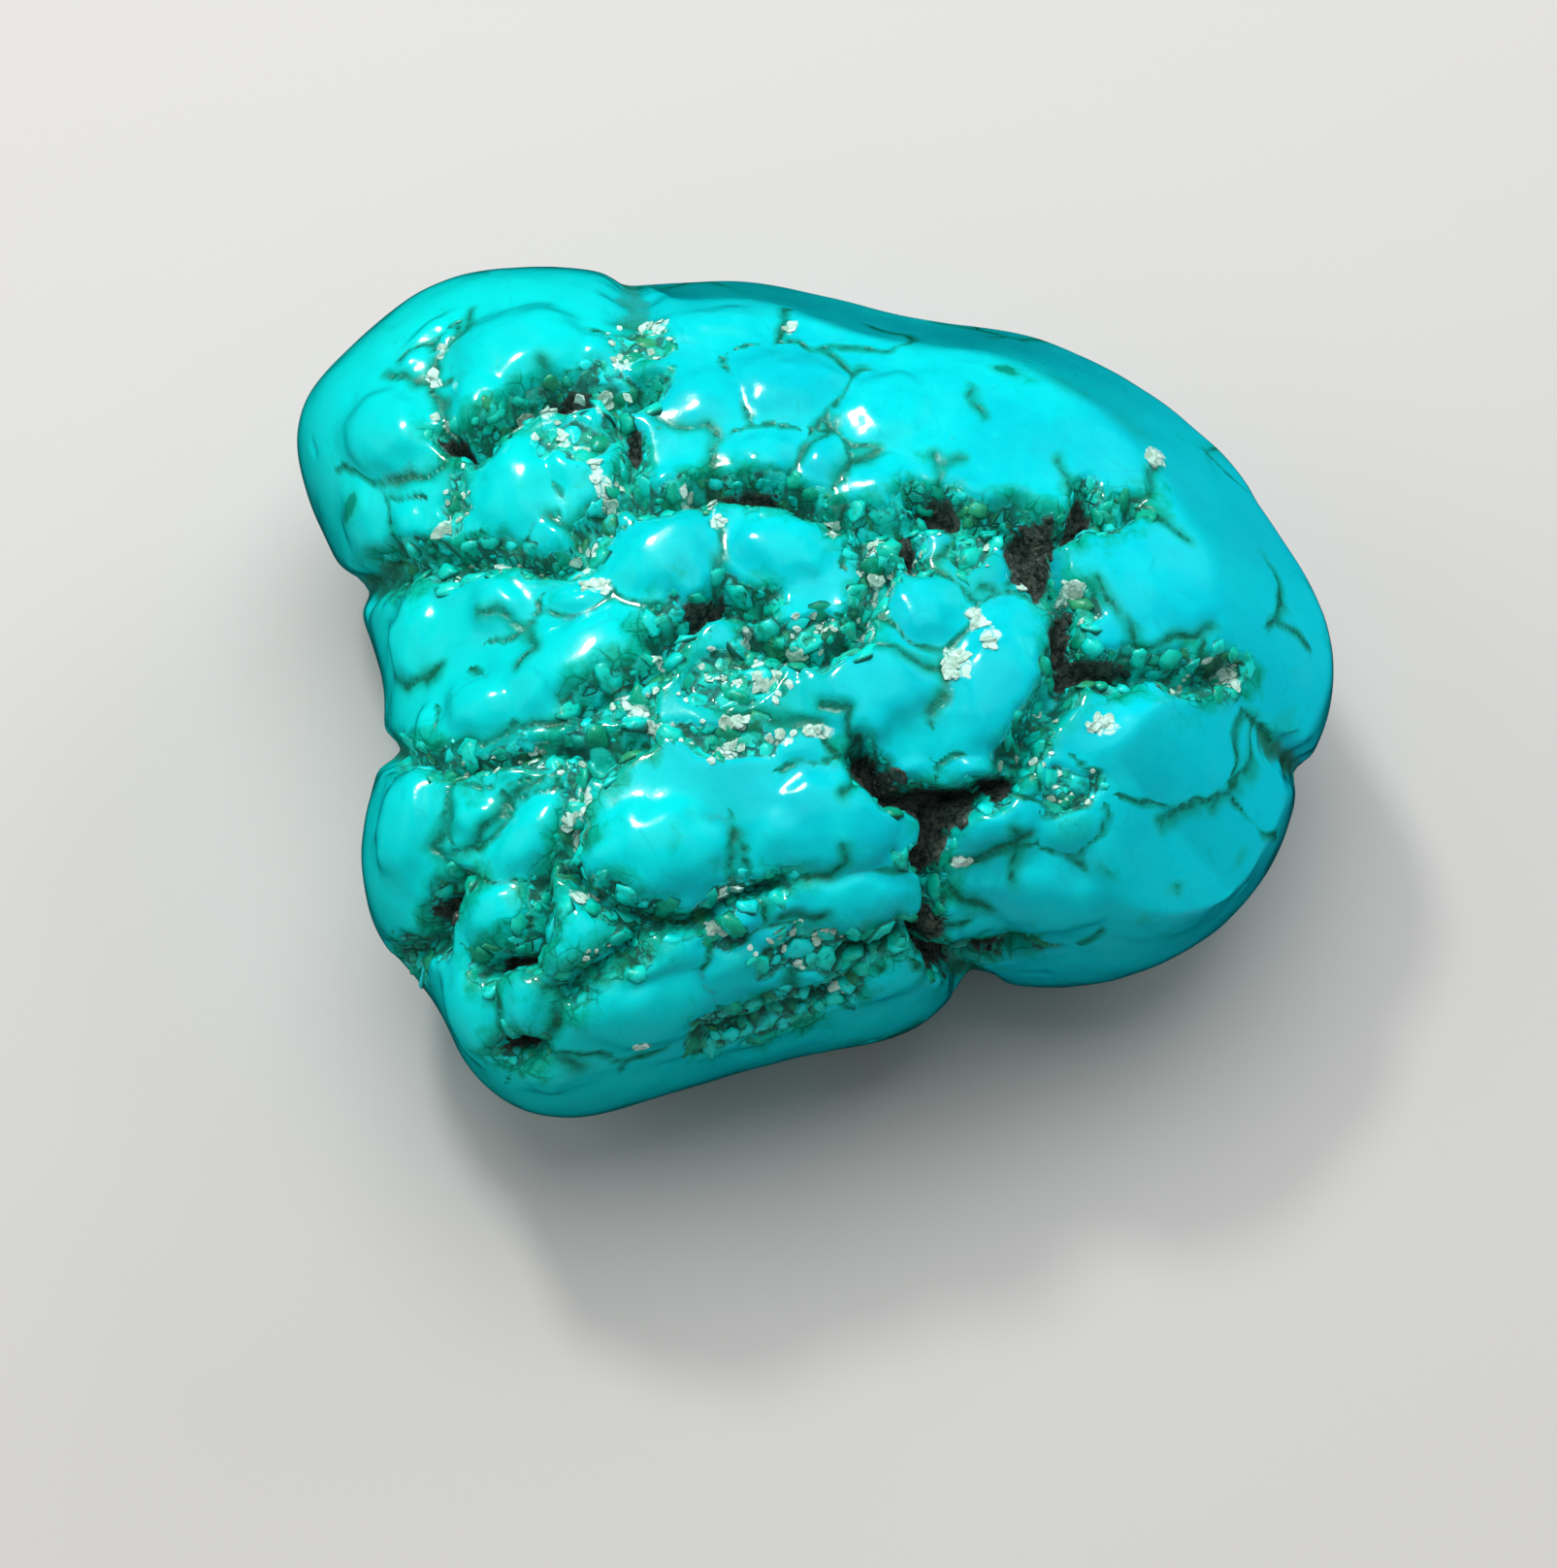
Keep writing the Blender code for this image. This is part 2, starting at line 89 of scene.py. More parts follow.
# Lumps on the seen side: across, up, half length, half breadth, turn in degrees, rise above the skin.
FRONT_LUMPS = (
    # lobe at the back left
    (-11.8, 13.9, 3.1, 2.4, 10, 0.6), (-13.3, 12, 1.7, 2, 0, 0.5), (-8.9, 13.6, 0.9, 1.2, 0, 0.1),
    (-17.3, 10.2, 2.6, 2.2, 0, 0.4), (-18.2, 6.9, 2.3, 1.5, -55, 0.1), (-16.1, 6.4, 0.9, 1.5, 0, 0.1),
    (-16.1, 7.9, 1.2, 0.6, 5, -0.2), (-16.2, 13.4, 1.2, 0.8, 35, 0), (-15.5, 14.9, 2.2, 0.7, 38, 0),
    (-11.8, 8, 1.9, 2.9, -8, 0.3), (-9.7, 9.2, 1.7, 1.4, 0, 0.1), (-10.2, 6.3, 1.4, 1, 0, 0),
    # back ridge
    (-7.3, 14.3, 1, 0.9, 0, -0.2), (-6.6, 10, 0.7, 1, 0, -0.2), (-5.6, 8.3, 1.4, 0.9, 15, 0),
    (-7.6, 6.7, 0.9, 0.7, 10, -0.2), (-3.9, 14.9, 3.3, 1.3, 4, 0.1), (1.5, 14.6, 3.5, 1.2, -8, 0),
    (-4.3, 11.8, 2.1, 1.7, 10, 0.1), (-1.2, 12.3, 2.9, 1.9, 0, 0.2), (-2.1, 9.4, 1.9, 1.4, 5, 0.2),
    (0.6, 9.3, 1.2, 1.3, 0, 0.1), (3, 11.2, 2.7, 2.3, -10, 0.2), (2.8, 8.1, 1.9, 1.5, -10, 0.1),
    # broad right side of the top
    (10, 8.9, 10.5, 5.6, -30, 0.1), (14.7, 5.3, 4.4, 4.2, 0, 0.2), (18, 0.9, 2, 2.6, 0, 0),
    # middle of the top
    (-5.8, 5.2, 2.7, 1.8, 32, 0.3), (-1.2, 5.6, 2.4, 2, -5, 0.3), (2.2, 5.3, 1.1, 1.2, 0, -0.1),
    (5.9, 5, 1.5, 1.7, 0, -0.1), (4.3, 3.3, 1.9, 1.7, -40, 0.2), (1.9, 0.4, 2.9, 2.7, 20, 0.4),
    (7, 0.3, 2.4, 3.6, -18, 0.4), (5.8, -3, 1.2, 0.9, 0, 0.1), (-1, 2.7, 1.3, 0.7, 12, -0.4),
    (-4.9, 1.9, 1.2, 0.8, 10, -0.1), (-3, 0.4, 2, 1, 0, -0.3), (-4.6, -1.4, 2.2, 0.9, 0, -0.2),
    (-0.8, -2, 1.5, 0.8, 0, -0.2),
    # second lobe on the left, with the long lump behind it
    (-15.9, 2.3, 1.5, 2.6, 0, 0.3), (-9.6, 1.2, 4.3, 2, 22, 0.4), (-12.9, -0.5, 2.1, 1.4, 0, 0.4),
    (-12.1, 3.2, 1.6, 1.4, 10, 0.2), (-9.2, 3.6, 1.5, 0.8, 8, 0.1), (-8.5, -1.9, 0.8, 0.8, 0, -0.1),
    (-7, -1.1, 1.1, 0.7, 20, -0.1), (-11.2, -2.8, 2, 0.7, 14, -0.2), (-9.2, -3.6, 0.9, 0.9, 0, -0.3),
    # third lobe on the left
    (-15.6, -5.2, 1.9, 3.1, 0, 0.3), (-12.8, -4.6, 1.1, 1.1, 20, 0.1), (-11, -5.5, 2.4, 1.4, 42, 0.3),
    (-11.9, -8.4, 1.7, 1.6, 0, 0.3), (-8.9, -9.4, 1.6, 2, -25, 0.3),
    # foot at the front left
    (-13.2, -12.2, 1.6, 2.6, 15, 0.2), (-10.7, -11.8, 1.4, 1.3, 0, 0.1), (-9.6, -14.4, 2.3, 1, 5, 0.1),
    # front flank
    (-5.4, -10.1, 1.8, 1.1, 5, 0.1), (-6.2, -12, 3.6, 1.9, 8, 0.3), (-2.6, -10.6, 2.2, 1.4, 15, 0.1),
    (-3, -13.2, 4.2, 1.1, 12, 0), (0.2, -10.3, 1.2, 0.9, 20, -0.1), (3, -11.3, 2.3, 1, 12, 0),
    (-5.6, -5.8, 3.1, 2.5, 0, 0.5), (0.6, -5, 3.3, 2.4, -8, 0.4), (1.2, -8, 3.4, 1.6, 4, 0.2),
    (-2.7, -8.6, 1.4, 0.9, 10, 0.1),
    # right front
    (13.4, -1.9, 3.6, 2.4, 0, 0.4), (9.2, -3.4, 1.4, 1.1, 0, -0.2), (6.8, -5.2, 2.1, 1.2, 5, 0.2),
    (8.6, -8.2, 3.6, 2, 0, 0.3), (10, -5.4, 1.4, 1.2, 0, 0), (14, -6.9, 4.6, 3.4, 20, 0.2),
    (17.3, -3.3, 1.5, 2.8, 10, 0.1),
)

# Smaller lumps between them, in the same measures.
SMALL_LUMPS = (
    # round the lobe at the back left
    (-15, 10.3, 0.5, 0.7, 30, -0.3), (-14.7, 14.6, 0.8, 0.5, 30, -0.1), (-12.9, 5.8, 0.8, 0.5, 20, -0.2),
    (-10.9, 12, 0.8, 0.5, 0, -0.4), (-12.2, 11, 0.7, 0.4, 30, -0.4), (-9.7, 12.5, 0.7, 0.4, 0, -0.3),
    (-6.1, 14.3, 1, 0.5, 10, -0.2), (-6.5, 13, 0.8, 0.6, 0, -0.3), (-7, 11.3, 0.5, 0.6, 0, -0.3),
    (-7.2, 8.2, 0.5, 0.6, 0, -0.4),
    # middle of the top
    (-3.8, 6.9, 0.5, 0.6, 0, -0.2), (-1, 7.2, 1.1, 0.5, 0, -0.7), (0.9, 6.6, 0.8, 0.5, 15, -0.3),
    (1.4, 8.5, 0.4, 0.5, 0, -0.2), (6, 8.2, 0.9, 0.8, 0, -0.2), (7.2, 7.4, 0.5, 0.4, 0, -0.3),
    (4.8, 7.7, 0.8, 0.6, 0, -0.2), (4.9, 5.8, 0.9, 0.8, 0, -0.3), (6.7, 4.7, 1.1, 1.2, 0, -0.1),
    (2.4, 3.9, 0.8, 0.9, 0, -0.3), (1.4, 3.6, 0.9, 0.6, 20, -0.2), (-3.8, 3.1, 0.7, 0.6, 0, -0.5),
    (-2.4, 1.9, 0.9, 0.6, 0, -0.3), (-2, 0.7, 1, 0.6, 0, -0.2), (3.9, -2.9, 0.8, 0.6, 0, -0.2),
    (10, 5.2, 0.9, 0.8, 0, -0.3), (12.6, 1.5, 0.4, 0.4, 0, -0.3), (13.4, 1.5, 0.4, 0.4, 0, -0.3),
    (16.5, 2.2, 2, 1.8, 0, 0.05),
    # left side
    (-15.2, -0.9, 0.6, 1.1, 10, 0), (-13.2, -2.4, 0.8, 0.6, 0, -0.2), (-11.2, -1.8, 0.8, 0.4, 30, -0.3),
    (-9.7, -1.5, 0.9, 0.5, 20, -0.2), (-10.8, -3.7, 1.2, 0.4, 12, -0.3),
    # front
    (-6.5, -7.7, 0.6, 0.7, 0, -0.1), (-6.5, -8.8, 0.5, 0.4, 0, -0.3), (-1.5, -9.3, 1.4, 0.7, 10, -0.1),
    (2.5, -9.4, 1.6, 0.7, 10, 0), (3.3, -10.9, 1.3, 0.8, 0, -0.1), (6.6, -8.9, 1.4, 0.9, 0, 0.1),
    (8, -3.6, 0.9, 0.5, 20, -0.3), (9.6, -4.3, 0.9, 0.7, 0, -0.2),
)

# Gaps on the seen side: half width, depth, then across and up of each point of its line.
FRONT_GAPS = (
    # round the lobe at the back left
    (0.6, 1.3, -14.7, 10.2, -13.8, 10, -13.1, 10.6, -11.7, 11.6, -10.6, 11.8, -9.3, 11.7, -8.4, 12.2, -7.3,
        11.7, -6.5, 12.2),
    (0.45, 1, -7.3, 11.7, -7.7, 10.7, -6.9, 9.9, -7.3, 8.5, -6.6, 7.4, -5.7, 7.1, -5, 7.6),
    (0.45, 1, -17.4, 4.7, -16.6, 5, -15, 5.4, -13.7, 5, -12.3, 5.2, -11.3, 5.1, -10.2, 4.9, -9.2, 5.5,
        -9, 6.4, -8.4, 7.1, -7.6, 7.6, -6.9, 7.6),
    # slot and pits behind the middle
    (0.6, 1.4, -4.8, 7.8, -3.7, 7.9, -2.6, 8, -1, 8.1, 0.1, 7.5, 1.1, 6.8),
    (0.42, 1, 1.1, 6.8, 2.3, 6.4, 3.6, 6.5, 4.6, 7, 5.5, 6.8, 6.4, 7, 7.3, 6.9),
    (0.5, 1, 1.9, 6.2, 1.9, 5.7), (0.5, 1.3, 4, 7.6, 4.4, 7.4, 5.6, 7.3),
    (0.4, 1.2, 3.4, 6.1, 3.5, 5.7, 3.9, 5.1), (1.1, 1.6, 7.5, 6.9, 8.3, 6.4, 8.7, 5.4, 8.9, 4.4, 9, 3.9),
    (0.65, 1.2, 9, 6.2, 10, 6.4, 10.5, 6.9, 10.8, 7.6), (0.35, 0.7, 10.9, 6.6, 11.9, 6.8, 12.6, 7.2),
    # long channel through the right half
    (0.7, 1.4, 9, 3.9, 9.8, 2.8, 9.7, 2, 9.4, 1),
    (0.8, 1.4, 9.4, 1, 9.2, 0, 8.3, -1.2, 7.4, -2.6, 6.8, -3.6, 5.6, -4),
    (0.7, 1.5, 1.6, -2.2, 2.4, -2.9, 3, -3.7, 3.9, -4, 4.7, -4.1, 6.4, -3.8),
    (0.7, 1.5, 4.7, -4.1, 4.6, -5.2, 4.4, -6.4, 4.9, -7.3, 4.6, -8.3, 4.2, -9.2, 4.9, -10.1),
    (0.75, 1.3, 4.9, -10.1, 6.3, -10.4, 7.8, -10.2),
    (0.55, 1.3, 9.7, 1.2, 11.2, 1.1, 12.3, 1.1, 13.5, 0.9, 14.8, 0.5, 16.1, 0.7),
    # under the middle lumps
    (0.6, 1.3, -6.2, 2, -5.7, 2.2, -4.6, 3.2, -3.9, 4.1, -3, 3.8, -2, 3.4),
    (0.45, 1.1, -2.4, 2.3, -1.2, 1.8, -0.1, 1.6, 1.2, 2.3, 1.7, 2.8, 2, 3.6, 2.9, 4.7),
    (0.35, 0.8, -8.9, -0.4, -7.8, 0.3, -6.9, 0.6, -5.9, 1.2, -5.5, 1.9, -5.1, 2.5),
    # left side
    (0.35, 0.8, -16.2, -2.3, -14.9, -2.2, -14, -2.8, -12.5, -2.7, -10.9, -2.3, -9.1, -2.2),
    (0.35, 0.8, -9.1, -2.2, -8.2, -3, -7.1, -2.1, -6.4, -1.9),
    (0.6, 1.4, -13.6, -7.3, -14.1, -8.3, -14.4, -9.3, -16, -10.4),
    (0.4, 0.8, -9.1, -5.1, -9.4, -5.9, -9.9, -7, -10.1, -8, -10.4, -9.1, -10.9, -10.1),
    (0.55, 1.3, -12.2, -10.5, -10.9, -10.2),
    # front
    (0.45, 1.1, -8.9, -6.9, -8.2, -7.4, -7.5, -7.8, -6.9, -8.2, -6.2, -8.7, -5.1, -8.7, -4.2, -8.5, -3.6, -8.2,
        -2.9, -7.4, -1.5, -7.2), (0.45, 0.9, -9, -11.3, -8.6, -10.5, -7.7, -9.9, -6.7, -9.6, -6.2, -9),
    (0.6, 1.2, -11.6, -13.3, -11.2, -13.5, -10.3, -13.3),
    (0.35, 0.8, -3.9, -13.4, -3.8, -13, -2.5, -12.8, -1.3, -12.4, -0.3, -12, 0.6, -11.4, 1.4, -11.1),
    (0.4, 0.9, 0.9, -10.1, 1.9, -10.1, 2.8, -9.6, 3.6, -9.2),
)

# Smooth dips between lobes, in the same measures.
DIPS = (
    (1.5, 0.7, -7.4, 17.5, -7.4, 15.4), (1.1, 1.2, -19.8, 3.6, -18.2, 4.4, -16.9, 4.9),
    (0.9, 0.9, -18.2, -2.4, -16.2, -2.3), (1.1, 0.9, 17.8, -1.6, 19.4, -3.4),
    (1, 1, 5.6, -10.4, 7.2, -13),
)

# Narrow cracks and veins, in the same measures.
FINE_GAPS = (
    # lobe at the back left
    (0.3, 0.5, -15.1, 13.8, -15.2, 12.6, -14.9, 11.4, -14.5, 10.4),
    (0.25, 0.3, -17.3, 12.8, -16.1, 12.6, -15.2, 12.5),
    (0.3, 0.5, -16.8, 8.1, -15.5, 8.5, -14.9, 9.3, -14.5, 10.3),
    (0.22, 0.25, -13.7, 15.7, -13.8, 14.7, -14.3, 14.4, -15, 13.8),
    (0.35, 0.4, -10.9, 12.9, -10.4, 12.4, -10.5, 11.6),
    (0.35, 0.5, -10.4, 7, -9.2, 6.6, -8.7, 7.4, -8, 7.6),
    # back ridge
    (0.22, 0.3, -6, 10.9, -5, 10.3, -4.1, 10.5, -4.2, 9.2, -4.1, 8.3),
    (0.2, 0.25, -0.9, 8.6, 0, 9.6, 0.8, 10.5), (0.22, 0.3, 1, 8.3, 1.6, 9.1, 2.5, 9.3),
    (0.25, 0.3, 4.7, 9.1, 5.1, 8.6, 5, 7.9, 6, 7.6), (0.2, 0.2, 5.1, 8.9, 5.9, 9),
    (0.2, 0.15, 6.1, 11.8, 6.2, 11.2, 6.6, 10.6), (0.15, 0.15, 9.8, 8.9, 10, 8.1, 10.4, 7.2),
    (0.35, 0.5, 11.2, 6.8, 12, 6.8, 12.9, 7.3, 13.3, 8.1, 13.4, 8.9),
    (0.18, 0.2, 13, 7.1, 13.9, 6.4, 14.5, 5.8),
    # right side
    (0.3, 0.4, 12.4, 1.9, 13.5, 2.1, 14.6, 2, 15.4, 2.2), (0.3, 0.3, 10.8, 4.4, 11.3, 3.8, 11.6, 3.3),
    (0.25, 0.25, 13.3, -4.7, 14, -4.2, 14.8, -4),
    (0.25, 0.3, 15.5, -3.9, 16.3, -3.2, 16.9, -2, 17.1, -0.8),
    (0.28, 0.4, 5.3, -6.4, 6.4, -6.4, 7.3, -6, 8.2, -5.7), (0.3, 0.3, 7.6, -5.2, 7.8, -6.2, 7.7, -7.2),
    (0.3, 0.5, 5.1, -7.2, 6, -7.8, 6.5, -8.3),
    # middle
    (0.2, 0.25, -3.6, 5.1, -3.8, 4.4), (0.4, 0.7, 0.1, -0.4, 1.1, -0.5, 1.1, -1.4, 2, -1.8),
    (0.35, 0.8, -3.6, -0.5, -2, -0.9, -1, -1, 0, -1.1), (0.22, 0.25, 4.4, 0, 4.4, -1),
    (0.2, 0.2, 2.2, 2.1, 3.4, 1.4, 4.6, 1),
    (0.18, 0.2, -2.7, -4.9, -3, -5.4, -2.8, -6, -3, -6.9, -3.3, -7.4),
    (0.18, 0.2, 1, -5.8, 1.2, -6.4, 0.4, -6.9, -0.4, -7.1), (0.3, 0.4, 1.5, -3.4, 0.9, -3.8),
    # left side
    (0.25, 0.4, -16.2, 0.4, -15.3, 0.5, -14.6, 1.2),
    (0.2, 0.25, -12.6, 2.9, -11.2, 2.6, -10.6, 1.6, -11.4, 0.9),
    (0.28, 0.5, -15.3, -2, -12.5, -1.8, -10.9, -1.2, -9, -1, -8.1, -0.4),
    (0.28, 0.45, -13.7, -3.2, -13.6, -4.6, -14.1, -5.9, -13.4, -7.3),
    (0.22, 0.3, -13.9, -6.3, -12.8, -5.4, -11.9, -4.2, -10.6, -3.4), (0.28, 0.5, -9.1, -5, -9.4, -5.9),
    (0.2, 0.25, -8.6, -5.1, -8.2, -5.8),
    # front
    (0.35, 0.6, -10.8, -10.9, -9.9, -11.4, -9.1, -11.3, -9.3, -12, -9.6, -12.8),
    (0.28, 0.4, -9.5, -13.5, -8.6, -14.1), (0.35, 0.6, -1.1, -8.6, -0.4, -8.7, 0.4, -8.5),
    (0.28, 0.4, -1.9, -12.1, -1.7, -11.7, -0.9, -11.3, -0.8, -10.1, -0.3, -9.6),
)

# Granular patches between the lumps: across, up, half length, half breadth, turn in degrees.
GRANULAR_PATCHES = (
    (-14.2, 7.6, 0.8, 2.3, 0), (-9.3, 10, 2.1, 1.3, 0), (-8.6, 12, 2, 0.7, 8), (-7, 14, 1.5, 1.2, 0),
    (-8.6, 6.3, 0.9, 1.5, -15), (-7.6, 8.2, 0.8, 1.2, 0), (-12, 4.8, 4.2, 0.6, 3), (-3, 0.6, 3.3, 1.7, 10),
    (-3.3, -1.7, 3.8, 1, -5), (-6.9, -0.4, 1.5, 0.9, 30), (-9.3, -3.8, 0.9, 1.4, 0),
    (-12.4, -2.5, 2.8, 0.6, 8), (-7.9, -9.9, 1.5, 0.7, 25), (8.2, -2, 0.9, 2.4, -35),
    (9.6, -3.7, 1.3, 1.3, 0), (10.3, 3.3, 1.1, 0.9, 0), (2.5, 5, 0.9, 1.6, -20), (-0.8, -9.8, 2.1, 1, 20),
    (14.6, 0.7, 1.6, 0.6, 0), (-3.3, -9.4, 1.3, 0.7, 0), (5.9, 5.6, 1.6, 1.2, 0), (-0.6, 2.4, 2.2, 0.8, 15),
)

# Pits filled with dark grit: across, up, half length, half breadth, turn in degrees.
DARK_PITS = (
    (-14.7, 10.2, 0.6, 0.4, 0), (-10.6, 11.7, 1.3, 0.35, 15), (-7, 10.2, 0.4, 0.5, 0),
    (-2.4, 8, 1.9, 0.35, 0), (3.5, 5.8, 0.35, 0.6, 0), (4.9, 7.4, 0.9, 0.4, 0), (8.5, 5.6, 1, 1.4, -15),
    (10.4, 7, 0.5, 0.9, -35), (9.6, 2.6, 0.5, 0.9, 0), (10.9, 1.2, 1.4, 0.4, 0), (6.6, -3.7, 0.7, 0.5, 0),
    (2.7, -3.3, 1.3, 0.55, -45), (4.7, -4.5, 1, 0.9, 0), (4.6, -6.6, 0.5, 1.8, 0), (4.6, -9, 0.7, 1, 0),
    (6.2, -10.4, 1.7, 0.6, 5), (-4.3, 3.8, 0.9, 0.45, 30), (-11.5, -10.4, 0.9, 0.3, 10),
    (-11, -13.4, 1, 0.4, 0), (-14.2, -8.9, 0.5, 0.8, 0),
)

# Hidden side: lumps spread evenly over the skin and jittered.
BACK_LUMP_COUNT = 90
BACK_LUMP_HALF_LENGTH = (2.0, 3.4)
BACK_LUMP_HALF_BREADTH = (1.5, 2.4)
BACK_LUMP_RISE = (-0.2, 0.4)
BACK_GAP_DEPTH = 0.8
BELT = 0.45
BELT_SINK = 0.5
BACK_SEED = 11
EVEN_SPIRAL = 3 - 5**0.5

# Cream flecks on the seen side: across, up, half length, half breadth, turn in degrees.
FLECKS = (
    # lobe at the back left
    (-7.6, 13.1, 0.35, 0.28, 0), (-6.5, 14.7, 0.5, 0.18, 0), (-14.9, 13.9, 0.14, 0.12, 0),
    (-15.1, 12.7, 0.15, 0.12, 0), (-14.8, 10.9, 0.16, 0.14, 0), (-11.6, 10.9, 0.2, 0.14, 20),
    (-10.4, 11.2, 0.28, 0.15, -20), (-9.4, 11.3, 0.3, 0.14, 10), (-8.3, 11.4, 0.25, 0.18, 0),
    (-9.9, 9.9, 0.3, 0.16, 60), (-9.1, 9.4, 0.2, 0.3, 10), (-8.6, 8.8, 0.2, 0.15, 0),
    (-8.4, 8.1, 0.16, 0.26, 0), (-8, 7, 0.3, 0.2, 30), (-14.5, 6.4, 0.2, 0.14, 0),
    (-8.3, 4, 0.45, 0.25, 20), (-9.2, 5, 0.6, 0.14, 35), (-12.1, 4.8, 0.2, 0.14, 0),
    # middle
    (-5.8, 1.4, 0.22, 0.14, 30), (-7.5, 0.1, 0.24, 0.16, 0), (-5, 7.6, 0.2, 0.16, 0),
    (-4.1, 7.4, 0.12, 0.45, 10), (-3.7, 6.6, 0.3, 0.12, -30), (0.9, 6.5, 0.35, 0.15, 10),
    (2.3, 5.7, 0.2, 0.16, 0), (2.6, 4.2, 0.4, 0.28, 60), (3.9, 5, 0.18, 0.2, 0), (1.9, 2.6, 0.24, 0.18, 0),
    (6.1, 2.7, 0.36, 0.42, 0), (5.3, 1.1, 0.34, 0.7, 20), (6.6, 1.8, 0.26, 0.2, 0), (-2.5, 2.3, 0.2, 0.15, 0),
    (-1.8, 0.45, 0.45, 0.35, 10), (-2.1, 1.1, 0.18, 0.15, 0), (-0.6, 1.3, 0.25, 0.15, 0),
    (-6.8, -0.6, 0.4, 0.22, 20), (-5.9, -1.4, 0.3, 0.22, 0), (-3.1, -1.1, 0.55, 0.16, 0),
    (-3.3, -2.1, 0.35, 0.2, 10), (0, -1.5, 0.4, 0.16, 10), (-1.3, -1.6, 0.15, 0.15, 0),
    (-0.9, 14.6, 0.2, 0.14, 0),
    # right side
    (13.4, 9.3, 0.26, 0.45, 0), (8, 4, 0.2, 0.16, 0), (9.9, 3.9, 0.45, 0.2, 0), (10.8, -1.1, 0.5, 0.3, 10),
    (16.2, 0.6, 0.15, 0.4, 0), (5.6, -6.4, 0.2, 0.15, 0),
    # left side and front
    (-8.8, -4.1, 0.3, 0.2, 0), (-9.2, -5.2, 0.12, 0.45, -10), (-8.5, -7.7, 0.45, 0.14, 0),
    (-3.2, -7.5, 0.6, 0.15, 30), (-3.6, -8.9, 0.3, 0.2, 0), (1, -11.2, 0.2, 0.14, 0),
    (-6.4, -13.2, 0.24, 0.18, 0),
)

# Green stains: across, up, half length, half breadth, turn in degrees, strength.
GREEN_STAINS = (
    (-18.3, 7.3, 0.6, 0.8, 0, 1), (5.9, 5, 1.8, 1.6, 0, 0.55), (2.2, 5.3, 1.3, 1.3, 0, 0.6),
    (-8.8, 6.5, 1, 1.6, 0, 0.7), (-14.2, 8.5, 1, 1.9, 0, 0.7), (-7.2, 14.3, 1.6, 1.3, 0, 0.7),
    (10.2, 3.9, 1.3, 0.9, 0, 0.9), (-9.2, -3.8, 1, 1.4, 0, 0.7), (18.2, -1.4, 0.9, 1.8, 0, 0.6),
    (7.8, -6.2, 0.9, 0.9, 0, 0.6), (7.6, 13, 1, 0.5, -15, 0.9), (10.3, 12.3, 1.9, 0.6, -28, 0.4),
    (12.7, 10.7, 1.1, 0.6, -45, 0.4), (9.9, -5.2, 1, 0.9, 0, 0.6), (-2.6, -10.2, 1.4, 0.8, 10, 0.4),
    (-7.5, -9.3, 1.2, 0.9, 20, 0.6), (-2.7, 0.2, 4.2, 2.6, 10, 0.55), (8.4, -2.2, 0.8, 2.6, -35, 0.5),
    (13.6, -7.1, 0.5, 0.5, 0, 0.7), (11, -6.9, 0.4, 0.3, 0, 0.6), (12.4, -8.4, 0.5, 0.4, 0, 0.6),
    (16.3, -5.8, 0.4, 0.5, 0, 0.6),
)

# The ball that the piece is drawn from, finer over the top, and how far it is eased.
BALL_SUBDIVISIONS = 6
BALL_CUTS = 2
FINER_TOP = 0.25
NEARLY_NOTHING = 1e-9
EASING = 0.25
EASING_ROUNDS = 2
SLANT_FADE = 0.5
SLANT_ROUNDS = 8
SIDE_FADE = 0.45

# Grains of green stone set in the granular ground, in millimetres, and cream chips.
GRAIN_SEED = 5
GRAIN_TRIES = 12000
GRAIN_GROUND = 0.4
GRAIN_RADIUS = (0.13, 0.60)
GRAIN_SHUFFLE = (0, 0.2)
GRAIN_APART = 0.84
GRAIN_CLEAR_OF_FLOOR = 0.4
GRAIN_FLATNESS = (0.32, 0.52)
GRAIN_STRETCH = (0.8, 1.3)
GRAIN_LIFT = -0.26
GRAIN_LUMPINESS = 0.50
GRAIN_PALER = 0.85
GRAIN_DEEPER = 0.15
GRAIN_SHAPE = {"u_segments": 7, "v_segments": 5}
PIT_GRAIN_LESS = 0.7
PIT_GRAIN_START = (0.2, 0.6)
PIT_TINT = (0.97, 1.0)
CHIP_SEED = 8
CHIP_SIZE = (0.12, 0.32)
CHIP_SHARE = 0.022
CHIP_STRETCH = (0.8, 1.7)
CHIP_FLATNESS = 0.26
CHIP_TILT = (-0.4, 0.4)
CHIP_LIFT = 0.03
CHIP_LUMPINESS = 0.55
CHIP_SHAPE = {"subdivisions": 1}
LOOSE_CHIPS = 170
LOOSE_CHIP_SIZE = (0.06, 0.19)
LOOSE_CHIP_GROUND = 0.2
LOOSE_CHIP_PIT = 0.5
SIDE_HINT = (0.3, 0.5, 0.8)

# How far the shaded rings round a hollow reach, in easing rounds, and the hollow that counts as full.
FINE_HOLLOW_ROUNDS = 7
FINE_HOLLOW_FULL = 0.10
WIDE_HOLLOW_ROUNDS = 60
WIDE_HOLLOW_FULL = 0.45
NORMAL_ROUNDS = 30
NEAR_PIT_ROUNDS = 12

# Veins and seams, and the cells of the granular ground.
VEIN_REACH = 1.0
FULL_LINE = 0.45
FAINT_LINE = 0.06
CREASE_STEEPNESS = 0.35
CREASE_APART = 0.5
CREASE_HIGH = 0.0
CREASE_LOW = 0.42
GAP_REACH = 1.9
CELL_SIZE = 0.85
CELL_EDGE = 0.30
CELL_GROOVE = 0.16
PICK_STRIDES = (7.31, 3.17, 5.71)

